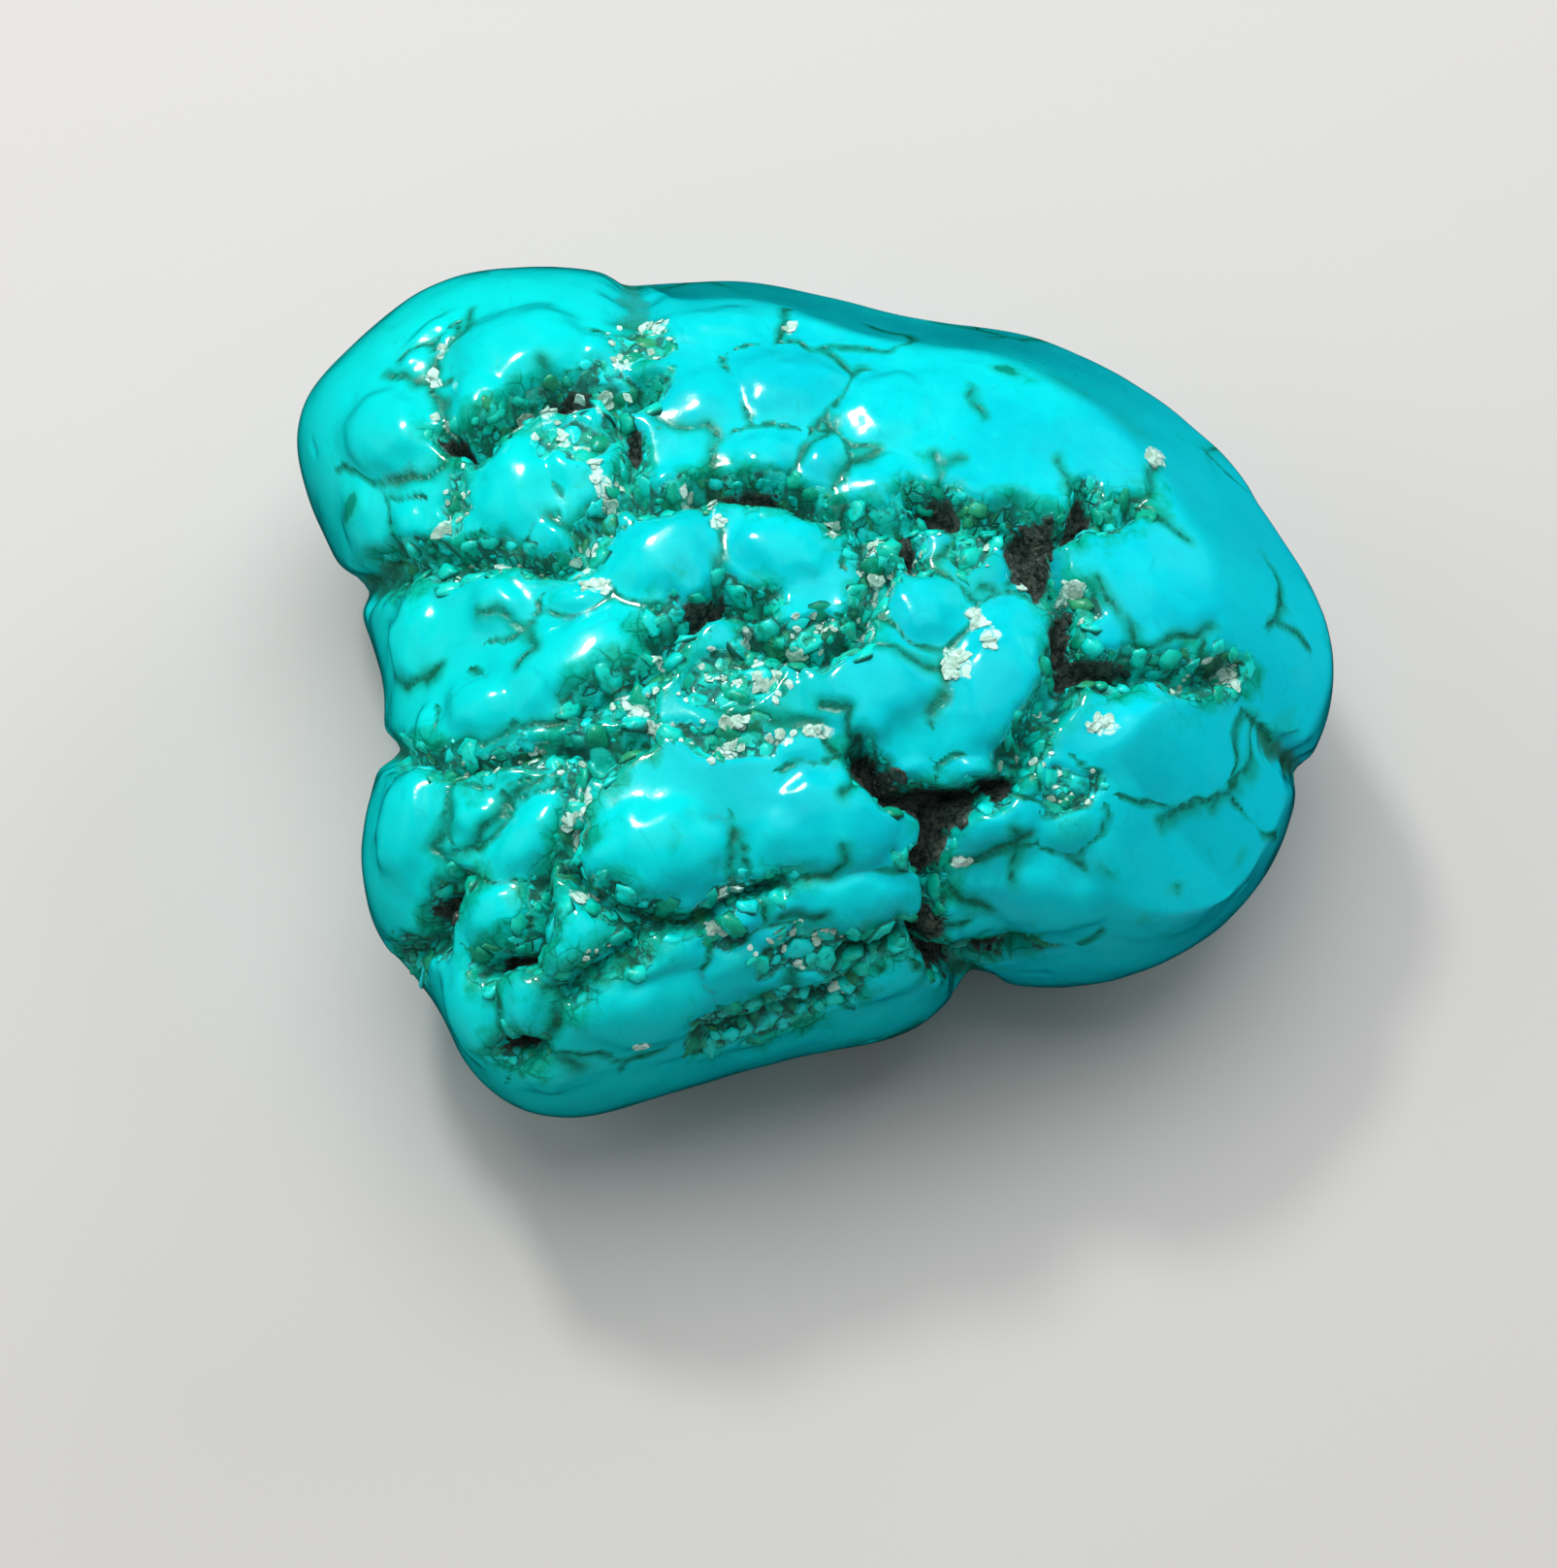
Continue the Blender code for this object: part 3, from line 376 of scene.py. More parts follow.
# How strongly a lump's centre is drawn to the outermost skin, and small sizes of the relief.
OUTWARD_PULL = 0.05
SHALLOW = 0.28
FINE_SHARE = 0.22
POLISH_WAVE = 0.035
POLISH_WAVE_SIZE = 1.3
ZONE_RAGGED = 0.45
ZONE_WAVE_SIZE = 1.2
ZONE_HALF_WIDTH = 1.10
ZONE_LOW = 0.32
ZONE_HIGH = 0.60
ZONE_SINK = 0.26
PATCH_STRENGTH = 0.8
PATCH_EDGE = 0.6
HIDDEN_START = 0.50
HIDDEN_FADE = 0.15
HIDDEN_MOST = 0.6
LOW_START = 0.62
LOW_FADE = 0.35
DEEP_START = 0.35
DEEP_FULL = 0.95
DEEP_GREEN = 0.45
PIT_RAGGED = 0.8
PIT_LOW = -0.25
PIT_HIGH = 0.15
PIT_SINK = 0.30
FLOOR_ROUGH = 0.15
FLOOR_ROUGH_SIZE = 0.35
STAIN_EDGE = 0.6
FLECK_MARGIN = 0.12

# Colours.
DEEP_BLUE = (0.0, 0.54, 0.64, 1)
BRIGHT_BLUE = (0.0, 0.68, 0.73, 1)
PALE_BLUE = (0.01, 0.78, 0.80, 1)
LEFT_BLUE = (0.0, 0.74, 0.67, 1)
# painted shade: the right side of the stone darker and bluer, as if turned away from the lights
SHADED_RIGHT_BLUE = (0.0, 0.56, 0.74, 1)
DARK_TEAL = (0.0, 0.34, 0.40, 1)
STONE_GREEN = (0.005, 0.42, 0.32, 1)
MOSS_GREEN = (0.0, 0.38, 0.23, 1)
WEB_GREEN = (0.0, 0.19, 0.105, 1)
VEIN_LINE = (0.004, 0.11, 0.062, 1)
VEIN_GREEN = (0.008, 0.10, 0.075, 1)
ROCK_BLACK = (0.007, 0.018, 0.016, 1)
ROCK_GREY = (0.075, 0.100, 0.085, 1)
FLECK_TAN = (0.30, 0.52, 0.42, 1)
FLECK_CREAM = (0.54, 0.82, 0.74, 1)
CARD_COLOUR = (0.53, 0.525, 0.52, 1)
GRAIN_TINTS = (
    (0.00, (0.0, 0.72, 0.72, 1)),
    (0.36, (0.0, 0.66, 0.54, 1)),
    (0.64, (0.0, 0.50, 0.34, 1)),
    (0.80, (0.0, 0.30, 0.17, 1)),
    (0.85, (0.03, 0.34, 0.15, 1)),
    (0.89, (0.0, 0.13, 0.07, 1)),
    (1.00, (0.040, 0.070, 0.062, 1)),
)

# Finishes, with the depth of each bump in millimetres.
POLISH_ROUGHNESS = 0.16
ROCK_ROUGHNESS = 0.75
GRAIN_ROUGHNESS = 0.3
CHIP_ROUGHNESS = 0.42
CARD_ROUGHNESS = 0.8
COAT_ROUGHNESS = 0.06
STONE_IOR = 1.6
STONE_SPECULAR = 0.35
BUMP_STRENGTH = 0.8
STONE_BUMP = 0.08
GRAIN_BUMP = 0.06
CHIP_BUMP = 0.05

# Noise in the materials: size in millimetres, detail, roughness.
MOTTLES = {
    "bend": (1.1, 3, 0.5),
    "ragged": (0.35, 4, 0.65),
    "clouds": (4.5, 4, 0.55),
    "fine clouds": (0.8, 4, 0.6),
    "side cover": (5.0, 3, 0.5),
    "moss": (1.3, 6, 0.68),
    "small cells": (1.4, 2, 0.5),
    "smear": (2.0, 5, 0.6),
    "fine grain": (0.12, 3, 0.6),
    "grain clouds": (0.6, 5, 0.65),
    "grain relief": (0.15, 3, 0.5),
    "chip clouds": (0.35, 5, 0.7),
    "chip relief": (0.1, 3, 0.5),
}

# Cells in the materials: size in millimetres.
NET_SIZE = 2.6
SIDE_NET_SIZE = 4.2
WEB_SIZE = 0.95
FINE_WEB_SIZE = 0.5
SMALL_CELL_SIZE = 0.46
PIT_SIZE = 0.45

# Masks in the materials: the values that a ramp runs between, and the shares at its ends if not 0 and 1.
RAMPS = {
    "clouds": (0.32, 0.68),
    "pale clouds": (0.5, 0.8, 0, 0.35),
    "dark clouds": (0.5, 0.2, 0, 0.30),
    "left": (2 * MM, -16 * MM, 0, 0.55),
    # painted shade: how far the darker, bluer right side reaches
    "right": (4 * MM, 20 * MM, 0, 0.65),
    "net": (0.05, 0, 0, 0.28),
    "net cover": (0.45, 0.7),
    "side cover": (0.47, 0.60),
    "side green": (0.16, 0, 0, 0.65),
    "side line": (0.035, 0.008, 0, 0.9),
    "green hollow": (0.1, 0.95, 0, 0.5),
    "green vein": (0.60, 0.10, 0, 0.6),
    "green cover": (0.25, 0.6, 0.45, 1),
    "dark stain": (0.55, 0.95, 0, 0.75),
    "web width": (0.35, 1, 0, 0.09),
    "web edge": (-0.03, 0.05),
    "web": (0.35, 0.7, 0, 0.75),
    "fine web width": (0.55, 1.1, 0, 0.12),
    "fine web": (0.55, 0.8, 0, 0.8),
    "moss": (0.66, 0.95, 0, 0.85),
    "dark moss": (0.86, 1.10, 0, 0.8),
    "green pick": (0.3, 0.9),
    "green cells": (0.4, 0.9, 0, 0.75),
    "ring": (0.45, 1.1),
    "vein halo": (0.42, 0.12, 0, 0.42),
    "vein": (0.195, 0.025),
    "vein breaks": (0.35, 0.6, 0.35, 1),
    "ground": (0.25, 0.75),
    "small edge": (0, 0.20),
    "small cells": (0.46, 0.56),
    "fleck": (0.02, 0.22),
    "fleck cells": (0, 0.5, 0.25, 1),
    "rock": (0.45, 0.8),
    "rock tone": (0.35, 0.65),
    "rough": (0, 1, POLISH_ROUGHNESS, ROCK_ROUGHNESS),
    "smear": (0.45, 0.75, 0, 0.10),
    "fine grain": (0, 1, 0.10, 1),
    "pits": (0, 0.25, -0.25, 0),
    "pit depth": (0, 0.5, 0.15, 1),
    "dark grain": (0.52, 0.32, 0, 0.75),
    "pale grain": (0.52, 0.70, 0, 0.6),
    "grain edge": (0.75, 0.05, 0, 0.94),
    "rock grain": (0.94, 0.965),
    "grain swell": (0, 1, 0, 0.7),
    "grain foot": (0, 0.6),
    "chip tone": (0.35, 0.6),
}

# How much of each mask counts, and how far noise shifts its edge.
BEND = 0.5
MOTTLE_MIDDLE = 0.5
TINT_MIDDLE = 0.5
STAIN_SHARE = 0.9
HOLLOW_CLOSENESS = 0.8
CLOUD_CLOSENESS = 1.6
MOSS_CLOSENESS = 0.5
RING_SHARE = 0.5
VEIN_SHARE = 0.9
PICK_SHARE = 0.92
GROUND_SHARE = 0.95
VEIN_RAGGED = 0.3
GROUND_RAGGED = 1.0
FLECK_RAGGED = 1.6
ROCK_RAGGED = 1.2
GROUND_ROUGH = 0.6
RING_ROUGH = 0.5
LINE_RELIEF = 0.6
PILLOW_RELIEF = 1.6
GRAIN_RELIEF = 0.3

# Numbers of the colour Mix node's sockets.
MIX_SHARE = 0
MIX_UNDER = 6
MIX_OVER = 7
MIX_COLOUR = 2

# Camera, floor and lights, in metres and watts: name, place, size, watts, colour, seen in the polish.
PICTURE_WIDTH = 1605
PICTURE_HEIGHT = 1616
FOCAL_PIXELS = 4050
MIDDLE_ACROSS = 839
MIDDLE_DOWN = 712
SENSOR_WIDTH = 36
CLIP_START = 0.001
CAMERA_DISTANCE = 0.156
FLOOR_SIZE = 1.2
WORLD_COLOUR = (1.0, 1.0, 1.0, 1)
WORLD_STRENGTH = 0.34
LIGHTS = (
    ("overhead", (0.00, 0.07, 0.30), 0.30, 0.65, (1.0, 0.99, 0.97), False),
    ("key", (-0.10, 0.16, 0.24), 0.05, 0.35, (1.0, 0.98, 0.95), True),
    ("left", (-0.20, 0.02, 0.12), 0.16, 0.11, (1.0, 1.0, 1.0), False),
    ("back_right", (0.17, 0.18, 0.12), 0.16, 0.22, (0.96, 0.99, 1.0), False),
)


def outline_radius(angle):
    """Rim radius at an angle from +X, eased between the listed radii."""
    radii = np.array(OUTLINE_RADII)
    stations = np.arange(len(radii)) * 2 * pi / len(radii)
    weight = np.exp(OUTLINE_SHARPNESS * np.cos(angle[:, None] - stations))
    return (weight * radii).sum(axis=1) / weight.sum(axis=1)


def skin_points(directions):
    """Where rays in these unit directions leave the smooth skin."""
    angle = np.arctan2(directions[:, 1], directions[:, 0])
    level = np.hypot(directions[:, 0], directions[:, 1])
    steep = directions[:, 2]
    square = SECTION_SQUARENESS
    reach = (level**square + np.abs(steep) ** square) ** (-1 / square)
    radius = outline_radius(angle) * level * reach
    height = RIM_HEIGHT + np.where(steep > 0, CROWN, KEEL) * steep * reach
    return np.stack((radius * np.cos(angle), radius * np.sin(angle), height), axis=1)


def to_layout(points):
    """Across, up and out of each point from the stone's middle."""
    return (points - np.array(STONE_MIDDLE)) @ LAYOUT_AXES.T


def wander(points, far, size):
    """Shift each point a little, so that lumps and gaps get uneven edges."""
    noise.seed_set(WANDER_SEED)
    return points + far * np.array([noise.noise_vector(Vector(point) / size) for point in points])


def axes_on(normal, hint, turn):
    """Axes that stand on the surface, as rows: along it, across it and outwards."""
    side = np.cross(normal, hint)
    side /= np.linalg.norm(side)
    along = cos(turn) * side + sin(turn) * np.cross(normal, side)
    return np.array((along, np.cross(normal, along), normal))


def dome(offset, axes, half_sizes, rise, gap):
    """Height of one lump above the skin: a flattened dome that starts at the bottom of the gaps."""
    spread = np.sqrt((((offset @ axes.T) / (half_sizes * FOOT)) ** 2).sum(axis=1))
    edge = ROUND_EDGE + SQUARE_EDGE_PER_MM * min(half_sizes[:2])
    profile = np.clip(1 - spread**edge, 0, None)
    return np.where(profile > 0, -gap + (gap + rise) * profile, NO_LUMP)


def raised(heights, lump):
    """The highest and second highest lump at each point, with one more lump counted in."""
    highest, second = heights
    return np.maximum(highest, lump), np.maximum(second, np.minimum(highest, lump))


def nearest_to(layout, across, up):
    """The outermost point of the seen side at this place of the layout."""
    away = np.hypot(layout[:, 0] - across, layout[:, 1] - up)
    return np.argmin(away**2 - OUTWARD_PULL * layout[:, 2])


def front_heights(points):
    """Highest and second highest lump of the seen side at each point."""
    layout = to_layout(points)
    heights = (np.full(len(points), NO_LUMP),) * 2
    for across, up, half_length, half_breadth, turn, rise in FRONT_LUMPS + SMALL_LUMPS:
        centre = (across, up, layout[nearest_to(layout, across, up), 2])
        slant = radians(turn)
        axes = np.array(((cos(slant), sin(slant), 0), (-sin(slant), cos(slant), 0), (0, 0, 1)))
        depth = LUMP_DEPTH_REACH * (half_length * half_breadth) ** 0.5
        sizes = np.array((half_length, half_breadth, depth))
        heights = raised(heights, dome(layout - centre, axes, sizes, rise, GAP_DEPTH))
    return heights


def back_heights(points, normals):
    """The same for the hidden side, whose lumps are spread evenly round the skin, and the floor under all."""
    chance = np.random.default_rng(BACK_SEED)
    order = np.arange(BACK_LUMP_COUNT) + 0.5
    steep = 1 - 2 * order / BACK_LUMP_COUNT
    angle = order * pi * EVEN_SPIRAL
    level = np.sqrt(1 - steep**2)
    centres = skin_points(np.stack((level * np.cos(angle), level * np.sin(angle), steep), axis=1))
    seen = np.clip(1 + normals @ LAYOUT_OUT / BELT, 0, 1)
    floor = -BACK_GAP_DEPTH - (GAP_DEPTH - BACK_GAP_DEPTH) * seen
    heights = (np.full(len(points), NO_LUMP),) * 2
    for centre in centres:
        half_length = chance.uniform(*BACK_LUMP_HALF_LENGTH)
        half_breadth = chance.uniform(*BACK_LUMP_HALF_BREADTH)
        turn = chance.uniform(0, pi)
        rise = chance.uniform(*BACK_LUMP_RISE)
        nearest = np.argmin(((points - centre) ** 2).sum(axis=1))
        if seen[nearest] == 1:
            continue
        axes = axes_on(normals[nearest], LAYOUT_OUT, turn)
        sizes = np.array((half_length, half_breadth, half_length))
        rise -= BELT_SINK * seen[nearest]
        heights = raised(heights, dome(points - centre, axes, sizes, rise, BACK_GAP_DEPTH))
    return heights, floor


def distance_to_line(flat, line):
    """Distance of each point of a plane from a line of straight stretches."""
    nearest = np.full(len(flat), np.inf)
    for start, end in zip(line[:-1], line[1:]):
        stretch = end - start
        share = np.clip((flat - start) @ stretch / (stretch @ stretch), 0, 1)
        gap = flat - start - share[:, None] * stretch
        nearest = np.minimum(nearest, np.hypot(gap[:, 0], gap[:, 1]))
    return nearest


def lines_in(flat, lines, reach):
    """How deep these gaps cut in at each point of the layout, and how far the nearest line is."""
    depth = np.zeros(len(flat))
    nearest = np.full(len(flat), reach)
    for half_width, deepest, *line in lines:
        distance = distance_to_line(flat, np.array(line).reshape(-1, 2))
        near = np.clip(1 - distance / half_width, 0, 1)
        depth = np.maximum(depth, deepest * near**2 * (3 - 2 * near))
        nearest = np.minimum(nearest, distance + FAINT_LINE * np.clip(1 - deepest / FULL_LINE, 0, 1))
    return depth, nearest


def in_oval(flat, across, up, half_length, half_breadth, turn):
    """How far inside an oval each point is: 1 at its middle, 0 at its edge, less outside."""
    slant = radians(turn)
    axes = np.array(((cos(slant), sin(slant)), (-sin(slant), cos(slant))))
    offset = (flat - (across, up)) @ axes.T / (half_length, half_breadth)
    return 1 - np.hypot(offset[:, 0], offset[:, 1])


def in_ovals(flat, ovals):
    """The same for the oval that each point is furthest inside, no less than -1."""
    return np.maximum.reduce([in_oval(flat, *oval) for oval in ovals], initial=-1.0)


def eased_step(values, low, high):
    """Ease values from 0 at low to 1 at high."""
    share = np.clip((values - low) / (high - low), 0, 1)
    return share**2 * (3 - 2 * share)


def waves(points, size):
    """Soft uneven waves from -1 to 1."""
    return np.array([noise.noise(Vector(point) / size) for point in points])


def cells_of(points, size):
    """Uneven cells of this size: how far each point is inside its cell's edge, and a pick for the cell."""
    edge = np.zeros(len(points))
    pick = np.zeros(len(points))
    for index, point in enumerate(points):
        away, middles = noise.voronoi(Vector(point) / size)
        edge[index] = away[1] - away[0]
        pick[index] = middles[0].dot(Vector(PICK_STRIDES)) % 1
    return edge, pick


def worn(points):
    """Wear the back and right edge of the top to a bevel, and the underside flat."""
    angle = np.arctan2(points[:, 1], points[:, 0])
    turn = np.abs((angle - BEVEL_MIDDLE + pi) % (2 * pi) - pi)
    inward = outline_radius(angle) - np.hypot(points[:, 0], points[:, 1])
    beyond = np.clip(turn / BEVEL_REACH - 1, 0, None)
    bevel = RIM_HEIGHT + BEVEL_DROP + tan(BEVEL_SLOPE) * inward + CROWN * beyond
    proud = (points[:, 2] - np.maximum(bevel, RIM_HEIGHT)) / BEVEL_ROUNDING
    points[:, 2] -= BEVEL_ROUNDING * np.logaddexp(0, proud)
    points[:, 2] = np.maximum(points[:, 2], 0)
    return points


class FineBall:
    """A fine ball of even triangles, whose points are moved into the stone's shape."""

    def __init__(self, name):
        mesh = bmesh.new()
        bmesh.ops.create_icosphere(mesh, subdivisions=BALL_SUBDIVISIONS, radius=1)
        bmesh.ops.subdivide_edges(mesh, edges=mesh.edges[:], cuts=BALL_CUTS, use_grid_fill=True)
        for face in mesh.faces:
            face.smooth = True
        self.data = finished(name, mesh)
        self.count = len(self.data.vertices)
        ends = np.zeros(2 * len(self.data.edges), dtype=np.int32)
        self.data.edges.foreach_get("vertices", ends)
        self.ends = ends.reshape(-1, 2)
        self.neighbours = np.bincount(ends, minlength=self.count)

    def read(self, kind):
        """The points, "co", or normals, "normal", one to a row."""
        flat = np.zeros(3 * self.count)
        self.data.vertices.foreach_get(kind, flat)
        return flat.reshape(-1, 3)

    def move(self, points):
        """Move the points."""
        self.data.vertices.foreach_set("co", points.ravel())
        self.data.update()

    def neighbour_mean(self, values):
        """Mean of each point's neighbours, for columns of values."""
        one, other = self.ends.T
        columns = [
            np.bincount(one, column[other], self.count) + np.bincount(other, column[one], self.count)
            for column in values.T
        ]
        return np.stack(columns, axis=1) / self.neighbours[:, None]

    def eased(self, values, share, rounds):
        """Values drawn towards their neighbours' mean, round after round."""
        for _ in range(rounds):
            values = values + share * (self.neighbour_mean(values) - values)
        return values

    def steepness(self, values, points):
        """How steeply values change towards the steepest of each point's neighbours."""
        one, other = self.ends.T
        slope = np.abs(values[one] - values[other]) / np.linalg.norm(points[one] - points[other], axis=1)
        steepest = np.zeros(self.count)
        np.maximum.at(steepest, one, slope)
        np.maximum.at(steepest, other, slope)
        return steepest

    def hollow(self, stone, outward, rounds, full):
        """How hollow the stone is at each point, from -1 to 1."""
        hollow = ((self.eased(stone, 1, rounds) - stone) * outward).sum(axis=1)
        return np.clip(hollow / full, -1, 1)

    def keep(self, name, values):
        """Keep a value at each point for the material to read."""
        layer = self.data.attributes.new(name, "FLOAT", "POINT")
        layer.data.foreach_set("value", values.astype(np.float32))


def nugget_shape(ball):
    """Move the ball into the stone's shape, in metres, and keep the values that its material reads."""
    directions = ball.read("co")
    directions /= np.linalg.norm(directions, axis=1)[:, None]
    directions[:, 2] += FINER_TOP * (1 - directions[:, 2] ** 2)
    level = np.hypot(directions[:, 0], directions[:, 1])
    wanted = np.sqrt(np.clip(1 - directions[:, 2] ** 2, 0, 1))
    directions[:, :2] *= (wanted / np.maximum(level, NEARLY_NOTHING))[:, None]
    skin = skin_points(directions)
    ball.move(skin)
    normals = ball.read("normal")
    wandered = wander(wander(skin, WANDER, WANDER_SIZE), FINE_WANDER, FINE_WANDER_SIZE)
    outness = normals @ LAYOUT_OUT
    facing = np.clip(1 + outness / GAP_FADE, 0, 1)
    flat = to_layout(wandered)[:, :2]

    front, front_second = front_heights(wandered)
    (back, back_second), floor = back_heights(wandered, normals)
    highest = np.maximum(front, back)
    second = np.maximum(np.minimum(front, back), np.maximum(front_second, back_second))
    apart = np.minimum(highest - second, CREASE_APART)
    raw = np.maximum(highest, floor)
    crease = apart / np.maximum(ball.steepness(apart, skin), CREASE_STEEPNESS)
    crease += VEIN_REACH * ((second == NO_LUMP) + 1 - eased_step(-raw, CREASE_HIGH, CREASE_LOW))
    height = np.where(raw < 0, -SHALLOW * (1 - np.exp(np.minimum(raw, 0) / SHALLOW)), raw)
    wide_depth, gap_away = lines_in(flat, FRONT_GAPS, GAP_REACH)
    fine_depth, vein = lines_in(flat, FINE_GAPS, VEIN_REACH)
    dip_depth, _ = lines_in(flat, DIPS, GAP_REACH)
    height -= (np.maximum(wide_depth, dip_depth) + FINE_SHARE * fine_depth) * facing
    vein = np.minimum(np.where(facing > MOSTLY_FACING, vein, VEIN_REACH), crease)
    near_gap = np.where(facing > MOSTLY_FACING, 1 - gap_away / GAP_REACH, 0)

    # granular ground: sunk a little between the smooth islands, for grains to fill
    ragged = ZONE_RAGGED * (waves(skin, ZONE_WAVE_SIZE) + waves(skin, ZONE_WAVE_SIZE / 2) / 2)
    patch = np.clip(in_ovals(flat, GRANULAR_PATCHES) / PATCH_EDGE, -1, 1) * facing - (1 - facing)
    zone = np.maximum((1 - gap_away / ZONE_HALF_WIDTH) * facing, PATCH_STRENGTH * patch)
    hidden = np.clip(-HIDDEN_START - outness, 0, HIDDEN_FADE) / HIDDEN_FADE
    zone = np.maximum(zone, hidden * np.clip((-raw - LOW_START) / LOW_FADE, 0, HIDDEN_MOST))
    zone = eased_step(zone + ragged, ZONE_LOW, ZONE_HIGH)
    pit = in_ovals(flat, DARK_PITS) * facing - (1 - facing)
    pit = eased_step(pit + PIT_RAGGED * ragged, PIT_LOW, PIT_HIGH)
    zone = np.maximum(zone, pit)
    deep = np.maximum(eased_step(wide_depth * facing, DEEP_START, DEEP_FULL) * DEEP_GREEN, pit)
    cell_edge, cell_pick = cells_of(wandered, CELL_SIZE)
    grooves = 1 - eased_step(cell_edge, 0, CELL_EDGE)
    height -= ZONE_SINK * zone + PIT_SINK * pit + CELL_GROOVE * zone * grooves
    height += POLISH_WAVE * waves(skin, POLISH_WAVE_SIZE) + FLOOR_ROUGH * deep * waves(skin, FLOOR_ROUGH_SIZE)

    stone = ball.eased(skin + normals * height[:, None], EASING, EASING_ROUNDS)
    slanted = np.clip(1 - outness / SLANT_FADE, 0, 1)[:, None]
    stone = worn(stone + slanted * (ball.eased(stone, EASING, SLANT_ROUNDS) - stone))
    ball.move(stone)
    outward = ball.eased(ball.read("normal"), 1, NORMAL_ROUNDS)
    stain = np.zeros(ball.count)
    for *oval, strength in GREEN_STAINS:
        stain = np.maximum(stain, strength * np.clip(in_oval(flat, *oval) / STAIN_EDGE, 0, 1))
    fleck = in_ovals(flat, [
        (across, up, half_length + FLECK_MARGIN, half_breadth + FLECK_MARGIN, turn)
        for across, up, half_length, half_breadth, turn in FLECKS
    ])
    ball.keep("fine_hollow", ball.hollow(stone, outward, FINE_HOLLOW_ROUNDS, FINE_HOLLOW_FULL))
    ball.keep("wide_hollow", ball.hollow(stone, outward, WIDE_HOLLOW_ROUNDS, WIDE_HOLLOW_FULL))
    ball.keep("deep", deep)
    ball.keep("zone", zone)
    ball.keep("vein", vein)
    ball.keep("near_gap", near_gap)
    ball.keep("stain", stain * facing)
    ball.keep("side", np.clip(1 - outness / SIDE_FADE, 0, 1))
    ball.keep("cell_edge", np.clip(cell_edge / CELL_EDGE, 0, 1))
    ball.keep("cell_pick", cell_pick)
    ball.keep("fleck", np.where(facing > 0, fleck, -1.0))
    ball.move(stone * MM)
    ball.stone = stone
    ball.outward = ball.read("normal")
    ball.zone = zone
    ball.deep = deep
    ball.pit = pit
    ball.near_pit = np.maximum(pit, ball.eased(pit[:, None], 1, NEAR_PIT_ROUNDS)[:, 0])
    ball.patch = patch
    ball.grown = (facing == 1) | (hidden == 1)


class Recipe:
    """The nodes of one material or group, added one after another."""

    def __init__(self, tree):
        self.tree = tree

    def fill(self, sockets, values):
        """Link or set what goes into sockets."""
        for socket, value in values.items():
            if isinstance(value, bpy.types.NodeSocket):
                self.tree.links.new(value, sockets[socket])
            else:
                sockets[socket].default_value = value

    def add(self, kind, inputs, **settings):
        """Add a node, with its settings and what goes into its sockets."""
        node = self.tree.nodes.new("ShaderNode" + kind)
        for name, value in settings.items():
            setattr(node, name, value)
        self.fill(node.inputs, inputs)
        return node

    def maths(self, operation, first, second, clamp=True):
        """One sum of two values, kept between 0 and 1 unless clamp is off."""
        return self.add("Math", {0: first, 1: second}, operation=operation, use_clamp=clamp).outputs[0]

    def plus(self, first, second, clamp=True):
        return self.maths("ADD", first, second, clamp)

    def minus(self, first, second, clamp=True):
        return self.maths("SUBTRACT", first, second, clamp)

    def times(self, first, second, clamp=True):
        return self.maths("MULTIPLY", first, second, clamp)

    def larger(self, first, second):
        return self.maths("MAXIMUM", first, second)

    def shifted(self, value, ragged, far):
        """A value with ragged noise added, for an uneven edge."""
        return self.plus(value, self.times(ragged, far, clamp=False), clamp=False)

    def ramp(self, name, value):
        """Ease a value along a listed ramp."""
        low, high, start, end = (*RAMPS[name], 0, 1)[:4]
        inputs = {"Value": value, "From Min": low, "From Max": high, "To Min": start, "To Max": end}
        return self.add("MapRange", inputs, interpolation_type="SMOOTHSTEP").outputs["Result"]

    def blended(self, share, under, over):
        """Lay one colour over another."""
        inputs = {MIX_SHARE: share, MIX_UNDER: under, MIX_OVER: over}
        return self.add("Mix", inputs, data_type="RGBA").outputs[MIX_COLOUR]

    def place(self):
        """Where a point is on the piece."""
        return self.add("TexCoord", {}).outputs["Object"]

    def mottle(self, name, place, output="Fac"):
        """Listed soft noise, about 0.5 on the whole."""
        size, detail, roughness = MOTTLES[name]
        inputs = {"Vector": place, "Scale": 1 / (size * MM), "Detail": detail, "Roughness": roughness}
        return self.add("TexNoise", inputs).outputs[output]

    def cells(self, place, size, feature="DISTANCE_TO_EDGE", output="Distance"):
        """Cells of this size: how far their edges or middles are, or a colour for each."""
        inputs = {"Vector": place, "Scale": 1 / (size * MM)}
        return self.add("TexVoronoi", inputs, feature=feature).outputs[output]

    def cell_pick(self, place, size):
        """A chance value for each cell."""
        return self.add("SeparateColor", {"Color": self.cells(place, size, "F1", "Color")}).outputs[0]

    def kept(self, name):
        """A value kept at each point of the mesh."""
        return self.add("Attribute", {}, attribute_name=name).outputs["Fac"]

    def bump(self, height, depth):
        """Normals bumped by a height."""
        inputs = {"Height": height, "Distance": depth * MM, "Strength": BUMP_STRENGTH}
        return self.add("Bump", inputs).outputs["Normal"]


def new_material(name):
    """A material, the recipe for its nodes, and its shader's sockets."""
    material = bpy.data.materials.new(name)
    material.use_nodes = True
    return material, Recipe(material.node_tree), material.node_tree.nodes["Principled BSDF"].inputs


